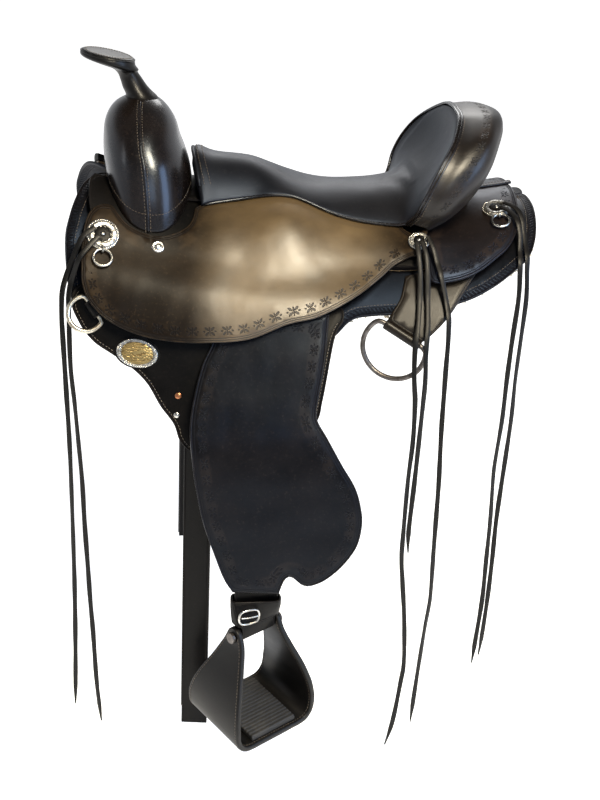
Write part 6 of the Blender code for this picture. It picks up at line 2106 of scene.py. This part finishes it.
BAR_OUTLINE = [
    (-330, 45, 1), (-336, 62), (-331, 105), (-298, 146), (-238, 158), (-160, 138), (-60, 126), (20, 128),
    (100, 138), (175, 132), (222, 108), (233, 80), (222, 46, 1), (120, 44), (0, 44), (-180, 44),
]
SKIRT_FRONT = [(-316, 12, 1), (-330, 26), (-345, 52), (-356, 84), (-363, 112)]
SKIRT_SEWN = SKIRT_FRONT + SKIRT_OUTLINE[4:]
ONE_LINE = ((3.0 * MM, 0.8 * MM, 0.4 * MM),)
WELT_HALF = 6.5 * MM
WELT_POINTS = 8
WELT_FROM_TO = (0.176, 0.263)
GROUND_FROM_TO = (-0.222, -0.176)
GROUND_HALF = 0.064
GROUND_RISE = 1.5 * MM
GROUND_THICKNESS = 2.5 * MM
REAR_GROUND_FROM_TO = (0.085, 0.197)
REAR_GROUND_HALF = 0.108
REAR_GROUND_LIFTS = (JOCKEY_LIFT + 0.8 * MM, BAR_TOP - 1.0 * MM)
GROUND_GRID = (5, 13)


def two_lines(border):
    first, second = BORDERS[border]["lines"]
    return (first, 0.8 * MM, 0.5 * MM), (second, 0.8 * MM, 0.45 * MM)


def rear_top(x, s):
    return REAR_JOCKEY_TOP


skirt_ring = outline(SKIRT_SEWN)
skirt_shape = panel(
    skirt_ring, SKIRT_LIFT, SKIRT_TOP, creases=two_lines("skirt"), repeat=SEED_PITCH, pitch=12 * MM,
)
pair("skirt_leather", skirt_shape, SKIRT_LEATHER, replaces="skirt")
sew_border(skirt_ring, 13.4 * MM, SKIRT_TOP + 0.2 * MM, lambda x, s: s > 50 * MM or x > 200 * MM)

jockey_shape = panel(
    outline(JOCKEY_OUTLINE), jockey_lift, jockey_top, creases=two_lines("jockey"), repeat=FLOWER_PITCH,
    sway=0.35 * MM,
)
pair("seat_jockey_leather", jockey_shape, JOCKEY_LEATHER, replaces="seat_jockey")

rear_shape = panel(
    outline(REAR_JOCKEY_OUTLINE), JOCKEY_LIFT, REAR_JOCKEY_TOP, creases=two_lines("rear"),
    repeat=FLOWER_PITCH, sway=0.2 * MM,
)
pair("rear_jockey_leather", rear_shape, REAR_LEATHER, replaces="rear_jockey")

welt_path = [
    Vector((x, 0, barrel(x, 0.001, REAR_JOCKEY_TOP + 1.0 * MM).z))
    for x in np.linspace(*WELT_FROM_TO, WELT_POINTS)
]
level, upright = ([Vector(way)] * WELT_POINTS for way in ((0, 1, 0), (0, 0, 1)))
welt = ribbon(welt_path, level, upright, 2 * WELT_HALF, 3.4 * MM, ends=0.8)
piece("back_seam_welt", welt, REAR_LEATHER)
for side in (-1, 1):
    sew([p + Vector((0, side * 4.2 * MM, 1.9 * MM)) for p in welt_path], upright, both=False)

rigging_ring = outline(RIGGING_OUTLINE)
rigging_shape = panel(rigging_ring, BAR_LIFT, RIGGING_TOP, creases=ONE_LINE, pitch=12 * MM)
pair("rigging_leather", rigging_shape, RIGGING_LEATHER, replaces="rigging")
sew_border(rigging_ring, 5.4 * MM, RIGGING_TOP + 0.2 * MM, lambda x, s: s > 0.2, thread="pale_thread")

bar_ring = inset(outline(BAR_OUTLINE), -1.0 * MM)
bar_shape = panel(bar_ring, BAR_LIFT + 2 * MM, BAR_TOP + 0.8 * MM, pitch=14 * MM)
pair("bar_leather", bar_shape, STRAP_LEATHER)


def ground_leather():
    """Leather on the bars and over the ridge between the fork and the seat."""
    rows, columns = GROUND_GRID
    under = np.array([
        [(x, y, jockey_top_height(x, y) - JOCKEY + GROUND_RISE)
         for y in np.linspace(-1, 1, columns) * GROUND_HALF]
        for x in np.linspace(*GROUND_FROM_TO, rows)
    ])
    return shell(under + (0, 0, GROUND_THICKNESS), under)


def rear_ground_leather(lift):
    """One face of the leather over the bars and the ridge under the cantle."""
    rows, columns = GROUND_GRID
    return [
        [tuple(barrel(x, s, lift)) for s in np.linspace(-REAR_GROUND_HALF, REAR_GROUND_HALF, columns)]
        for x in np.linspace(*REAR_GROUND_FROM_TO, rows)
    ]


piece("seat_ground_leather", ground_leather(), STRAP_LEATHER)
rear_ground = shell(*(rear_ground_leather(lift) for lift in REAR_GROUND_LIFTS))
piece("cantle_ground_leather", rear_ground, STRAP_LEATHER)


def wrap_leather():
    """Leather tube round the bar of the rear dee."""
    middle, along, _ = rear_dee_frame()
    first = along.orthogonal().normalized()
    second = along.cross(first)
    hole = REAR_DEE_WIRE + RUNNING_GAP
    outer, inner = (
        [[tuple(p) for p in ring_of(middle + along * end, first * radius, second * radius, 16)]
         for end in np.linspace(-WRAP_LENGTH / 2, WRAP_LENGTH / 2, 3)]
        for radius in (hole + WRAP_LEATHER, hole)
    )
    return shell(outer, inner, closed=True, times=(4, 3))


hanger_shape = joined(panel(outline(HANGER_OUTLINE), BAR_LIFT, HANGER_TOP, creases=ONE_LINE), wrap_leather())
pair("rear_dee_hanger_leather", hanger_shape, HANGER_LEATHER, replaces="rear_dee_hanger")


# Fleece

FLEECE_PITCH = 11 * MM
FLEECE_EDGE_STEP = 22 * MM
FLEECE_FRONT = [(-290, 34, 1), (-297, 62), (-312, 98), (-334, 136), (-350, 172)]
FLEECE_MIDDLE = (-0.03, 0.12)
LOCK_SIZE = (7 * MM, 6.0 * MM, 3.6 * MM)
LOCK_SEED = 11
LOCK_SPOTS = 2600
fleece_coarse = inset(outline(FLEECE_FRONT + SKIRT_OUTLINE[6:], FLEECE_EDGE_STEP), FLEECE_INSET)
fleece_ring = [tuple(p) for p in finer(fleece_coarse, 3, closed=True)]


def fleece_shape():
    def under(x, s):
        return barrel(x, s, 1.2 * MM + 1.0 * MM * math.sin(x * 190 + s * 140) * math.sin(s * 210 - x * 90))
    return slab(fleece_ring, under, lambda x, s: barrel(x, s, FLEECE), pitch=FLEECE_PITCH)


for obj in pair("fleece_wool", fleece_shape(), WOOL, replaces="fleece", sharp=180):
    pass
draw = np.random.default_rng(LOCK_SEED)
locks = []
for x, s in fleece_ring:
    for _ in range(3):
        lift = draw.uniform(1.5, 8.0) * MM
        nearby = (x + draw.uniform(-2.5, 2.5) * MM, s + draw.uniform(-2.5, 2.5) * MM)
        here = barrel(*nearby, lift)
        away = (here - barrel(*FLEECE_MIDDLE, lift)).normalized()
        away = (away + Vector(draw.normal(0, 0.45, 3))).normalized()
        locks.append((here, away, barrel_normal(x, s)))
low, high = np.min(fleece_ring, axis=0), np.max(fleece_ring, axis=0)
spots = np.stack([draw.uniform(low[k], high[k], LOCK_SPOTS) for k in (0, 1)], 1)
for x, s in spots[inside_all(spots, fleece_ring)]:
    normal = -barrel_normal(x, s)
    lean = Vector(draw.normal(0, 0.8, 3))
    locks.append((barrel(x, s, 2.6 * MM), (normal * 0.35 + lean).normalized(), normal))
repeated_pair("fleece_locks", "lock", locks, WOOL, LOCK_SIZE, slot="fleece", unevenness=0.35, seed=5)


# Fender, stirrup leather and its keeper

FENDER_LOW = STIRRUP_LEATHER + LAYER_GAP
HANGING = "fender_assembly"
TONGUE = ((-11, 0.4), (-4, 1.4), (4, 1.6), (12.5, 1.0))


def fender_face(lift):
    return lambda x, s: fender_point(x, s - FENDER_TANGENT_S, lift)


fender_shape = slab(
    outline(FENDER_OUTLINE), fender_face(FENDER_LOW), fender_face(FENDER_LOW + FENDER),
    creases=two_lines("fender"), repeat=FLOWER_PITCH, pitch=10 * MM, sway=0.5 * MM,
)
pair("fender_leather", fender_shape, FENDER_LEATHER, HANGING, "fender")
strap = stirrup_leather_shape()
pair("stirrup_leather_strap", strap, STRAP_LEATHER, HANGING, "stirrup_leather")
pair("hobble_strap_leather", hobble_shape(), STRAP_LEATHER, HANGING, "hobble_strap")

wide, deep = stirrup_axes(BUCKLE_HEIGHT)
rise = Vector((0, 0, 1))
buckle_at = BOLT + wide * BUCKLE_W + deep * BUCKLE_OUT + rise * BUCKLE_HEIGHT
buckle = planar_tube(BUCKLE_PATH, buckle_at, wide, rise, BUCKLE_WIRE, sides=10, times=4)
tongue = tube([buckle_at + wide * a * MM + deep * b * MM for a, b in TONGUE], 1.1 * MM, sides=8)
pair("hobble_buckle_silver", joined(buckle, tongue), SILVER, HANGING, "hobble_buckle")


# Stirrup

STIRRUP_FINE = 5 * MM
STIRRUP_CORNER = 2.6 * MM
TILT_FROM_TO = (0.02, 0.13)
STIRRUP_SEAM_IN = 4.5 * MM
STIRRUP_SEAM_RISES = (0.15 * MM, 5 * MM)
FINE_RIBS = 17
RIB_DEPTH = 1.5 * MM
RIB_SHAPE = ((0.08, 0.0), (0.20, 0.8), (0.32, 1.0), (0.62, 1.0), (0.76, 0.8), (0.90, 0.0))
TREAD_END = 0.86


def frame_place(w, z, ahead, d, o):
    """Point of the stirrup's frame: d across its depth, o out from the middle of its wall."""
    drop = TREAD_TILT * d * smoothstep(*TILT_FROM_TO, -z)
    return stirrup_place(w - ahead[1] * o, d, z + ahead[0] * o - drop)


def stirrup_cover():
    """Leather-covered frame with rounded edges, and the places of its four seams with those over them."""
    half = [tuple(p) for p in smooth_run([(w * MM, z * MM) for w, z in STIRRUP_SIDE], STIRRUP_FINE)]
    run = half + [(0.0, half[-1][1])] + [(-w, z) for w, z in half[::-1]]
    heights, depths = np.array(STIRRUP_DEPTHS[::-1]).T * MM
    half_wall = STIRRUP_WALL / 2
    rings, marks, edges = [], [], []
    for (w, z), ahead, length in zip(run, unit(np.array(steps_past(run))), run_lengths(run)):
        half_depth = float(np.interp(z, heights, depths)) / 2
        radius = min(STIRRUP_CORNER, half_depth * 0.5)
        section = [p for corner in CORNERS for p in corner_run(corner, half_depth, half_wall, radius, 5)]
        rings.append([frame_place(w, z, ahead, d, o) for d, o in section])
        marks += [(length, half_depth - abs(d)) for d, _ in section]
        edges.append([
            [frame_place(w, z, ahead, sign * (half_depth - STIRRUP_SEAM_IN), face * (half_wall + rise))
             for rise in STIRRUP_SEAM_RISES]
            for sign in (-1, 1) for face in (-1, 1)
        ])
    return loft(rings, marks=marks), edges[2:-2]


def tread_rubber():
    """Ribbed pad that lies on the stirrup's floor."""
    floor = STIRRUP_SIDE[-1][1] * MM + STIRRUP_WALL / 2 + TOUCH_GAP
    pitch, front, half = TREAD_DEPTH / FINE_RIBS, -TREAD_DEPTH / 2, TREAD_WIDTH / 2
    profile = [(front, 0.0), (front, TREAD - 2 * MM)]
    for start in [front + k * pitch for k in range(FINE_RIBS)]:
        profile += [(start + share * pitch, TREAD - RIB_DEPTH * (1 - rise)) for share, rise in RIB_SHAPE]
    profile += [(-front, TREAD - 2 * MM), (-front, 0.0)]
    ends = ((-half, TREAD_END), (-half + 1.2 * MM, 1.0), (half - 1.2 * MM, 1.0), (half, TREAD_END))
    return loft([
        [stirrup_place(w, d, floor + up * share - TREAD_TILT * d) for d, up in profile] for w, share in ends
    ])


cover, stirrup_edges = stirrup_cover()
pair("stirrup_cover", cover, STIRRUP_LEATHER_LOOK, "stirrup_group", "stirrup", sharp=60)
for seam in zip(*stirrup_edges):
    ups = [(over - place).normalized() for place, over in seam]
    sew([place for place, _ in seam], ups, body="stirrup_group")
pair("stirrup_tread_rubber", tread_rubber(), RUBBER, "stirrup_group", "stirrup_tread", sharp=30)


# Dees, rings and their leathers

pair("front_dee_wire", front_dee_shape(), BRIGHT_STEEL, "front_dee_ring", "front_dee")
pair("rear_dee_wire", rear_dee_shape(), DARK_STEEL, "rear_dee_ring", "rear_dee")
keeper = keeper_shape()
pair("front_dee_keeper_leather", keeper, STRAP_LEATHER, replaces="front_dee_keeper")
latigo, billet = latigo_shape(LATIGO_DROP, LATIGO_BACK_DROP), mirrored(latigo_shape(BILLET_DROP, BILLET_DROP))
piece("near_latigo_leather", latigo, STRAP_LEATHER, "near_latigo_strap", "near_latigo")
piece("off_billet_leather", billet, STRAP_LEATHER, "off_billet_strap", "off_billet")


# Conchos

ROPE_BEADS = 44
PETALS = 10
PETAL_WAVE = 0.05
ROSETTE_PROFILE = [(0, 0.36), (0.50, 0.36), (0.505, 0.62), (0.42, 0.74), (0.2, 0.78), (0, 0.78)]
PIN_PROFILE = [(0, 0.5), (1, 0.5), (1, 0.95), (0.7, 1.12), (0, 1.2)]


def concho_profile(radius):
    rim = [(-1, 0), (0, 0.5), (0, 1.4), (-0.8, 2.0), (-1.8, 2.0)]
    dome = [(0.84, 0.88), (0.74, 1), (0.64, 0.97), (0.55, 0.86), (0.52, 0.35), (0, 0.34)]
    made = [(0, 0)] + [(radius + out * MM, height * MM) for out, height in rim]
    made.append((radius - 2.4 * MM, 0.72 * CONCHO_CROWN))
    return made + [(share * radius, height * CONCHO_CROWN) for share, height in dome]


def rope_places(origin, first, second, normal, count, start, reach, height):
    """Places of the beads of a roped rim whose plane and size the half axes first and second give."""
    places = []
    for t in turns(count, start):
        c, s = math.cos(t), math.sin(t)
        out, around = first * c + second * s, second * c - first * s
        ahead = (around.normalized() + out.normalized() * 0.5).normalized()
        places.append((origin + out * reach + normal * height * MM, ahead, normal))
    return places


for which, place in CONCHOS.items():
    lift_at = rear_top if which == "rear" else jockey_top
    origin, normal = concho_frame(place, lift_at)
    radius = place[0]

    def petals(turn, r):
        return 1 + (PETAL_WAVE * math.cos(turn * PETALS) if r > 0.3 * radius else 0.0)

    shape = turned(concho_profile(radius), origin, normal, sides=72)
    if which != "mid":
        shape = joined(shape, eye_shape(which, lift_at))
    pair(which + "_concho_silver", shape, SILVER_CUT, replaces=which + "_concho", sharp=40)
    rosette = [(share * radius, height * CONCHO_CROWN) for share, height in ROSETTE_PROFILE]
    rosette = turned(rosette, origin, normal, sides=60, wave=petals)
    pair(which + "_concho_rosette", rosette, STRAP_LEATHER)
    size = min(2.6 * MM, 0.17 * radius)
    pin = [(share * size, height * CONCHO_CROWN) for share, height in PIN_PROFILE]
    pair(which + "_concho_pin", turned(pin, origin, normal, sides=24), SILVER)
    first = normal.orthogonal().normalized()
    beads = rope_places(origin, first, normal.cross(first), normal, ROPE_BEADS, 0.0, radius - 1.3 * MM, 2.1)
    sizes = (0.19 * radius, 1.3 * MM, 1.2 * MM)
    repeated_pair(which + "_concho_rope", "bead", beads, SILVER, sizes, slot="silver", unevenness=0.0)
    if which != "mid":
        ring = concho_ring_shape(which, lift_at)
        pair(which + "_tie_ring_silver", ring, SILVER, which + "_tie_ring", which + "_ring")


# Badge: a plain domed oval with a roped rim, on a leather backing

badge_normal = barrel_normal(*BADGE_PLACE)
badge_origin = barrel(*BADGE_PLACE, RIGGING_TOP + LAYER_GAP)
badge_first = barrel_along(*BADGE_PLACE)
badge_second = badge_normal.cross(badge_first) * BADGE_HALF_HEIGHT
badge_first *= BADGE_HALF_LENGTH
BACKING_SHARE = 1.10
BACKING_POINT = (0.30, 0.22)
BACKING_LEVELS = [(0.96, -0.7), (1.0, -0.6), (1.0, 0.5), (0.97, 0.7), (0.6, 0.7)]
BADGE_RIM = [
    (1.0, 0.0), (1.0, 1.2), (0.98, 1.9), (0.93, 2.5), (0.87, 2.7), (0.81, 2.4), (0.79, 1.6), (0.6, 1.4),
]
BADGE_DOME = [(0.78, 1.2), (0.77, 1.9), (0.70, 2.3), (0.5, 2.7), (0.25, 2.9), (0.04, 2.95)]
BADGE_ROPE = (2.6 * MM, 1.3 * MM, 1.1 * MM)


def pointed(turn):
    """Reach of the backing, which has a point at the badge's foot."""
    rise, width = BACKING_POINT
    return BACKING_SHARE + rise * math.exp(-((math.remainder(turn - math.pi / 2, 2 * math.pi)) / width) ** 2)


def oval(levels, sides=64, reach=None):
    rings = []
    for share, height in levels:
        centre = badge_origin + badge_normal * height * MM
        rings.append(ring_of(centre, badge_first * share, badge_second * share, sides, 0, reach))
    return loft(rings)


piece("near_badge_backing", oval(BACKING_LEVELS, 72, pointed), STRAP_LEATHER, sharp=35)
piece("near_badge_rim", oval(BADGE_RIM), SILVER_CUT, replaces="badge", sharp=35)
piece("near_badge_dome", oval(BADGE_DOME), BRASS)
badge_beads = rope_places(badge_origin, badge_first, badge_second, badge_normal, 64, 0.5, 0.945, 2.4)
repeated("near_badge_rope", "bead", badge_beads, SILVER, BADGE_ROPE, slot="silver", unevenness=0.0)


# Rivets and screws

SCREW_PLACE = (-244 * MM, 128 * MM)
SCREW_PROFILE = [
    (0, 0), (8.6, 0), (8.6, 0.8), (8.0, 1.7), (7.0, 2.1), (5.9, 1.9), (5.4, 0.9), (4.9, 0.8), (4.7, 1.9),
    (3.8, 2.7), (2.0, 3.1), (0, 3.2),
]
screw_at = barrel(*SCREW_PLACE, jockey_top(*SCREW_PLACE) - 0.3 * MM)
screw_profile = [(r * MM, h * MM) for r, h in SCREW_PROFILE]
screw_shape = turned(screw_profile, screw_at, barrel_normal(*SCREW_PLACE), sides=40)
pair("front_screw_silver", screw_shape, SILVER, sharp=35)

RIVETS = [((-216, 308), COPPER, 4.6), ((-218, 334), SILVER, 4.2)]
RIVET_PROFILE = [(0, 0), (1, 0), (1, 0.5), (0.86, 1.1), (0.55, 1.6), (0.2, 1.8), (0, 1.85)]
for number, ((x, s), look, radius) in enumerate(RIVETS):
    origin, normal = barrel(x * MM, s * MM, RIGGING_TOP), barrel_normal(x * MM, s * MM)
    profile = [(share * radius * MM, height * MM) for share, height in RIVET_PROFILE]
    pair(f"rigging_rivet_{number}", turned(profile, origin, normal, sides=28), look)


# Stitching, one piece for each body and thread

THREADS = {"thread": THREAD, "pale_thread": PALE_THREAD}
STITCH_SIZE = (STITCH, STITCH_WIDTH, STITCH_WIDTH * 0.8)
for (body, thread), places in sorted(SEWN.items()):
    name = f"{body}_{thread}_stitches"
    repeated(name, "bead", places, THREADS[thread], STITCH_SIZE, body, "black_leather", unevenness=0.06)


# Frame nodes that stay as they are

PLAIN_NODES = {"tree": RAWHIDE}
for stem in ("rigging_link", "stirrup_bolt"):
    PLAIN_NODES |= {f"near_{stem}": DARK_STEEL, f"off_{stem}": DARK_STEEL}
for name, look in PLAIN_NODES.items():
    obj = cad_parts[name]
    if not obj.material_slots:
        obj.data.materials.append(look)
    for material_slot in obj.material_slots:
        material_slot.material = look
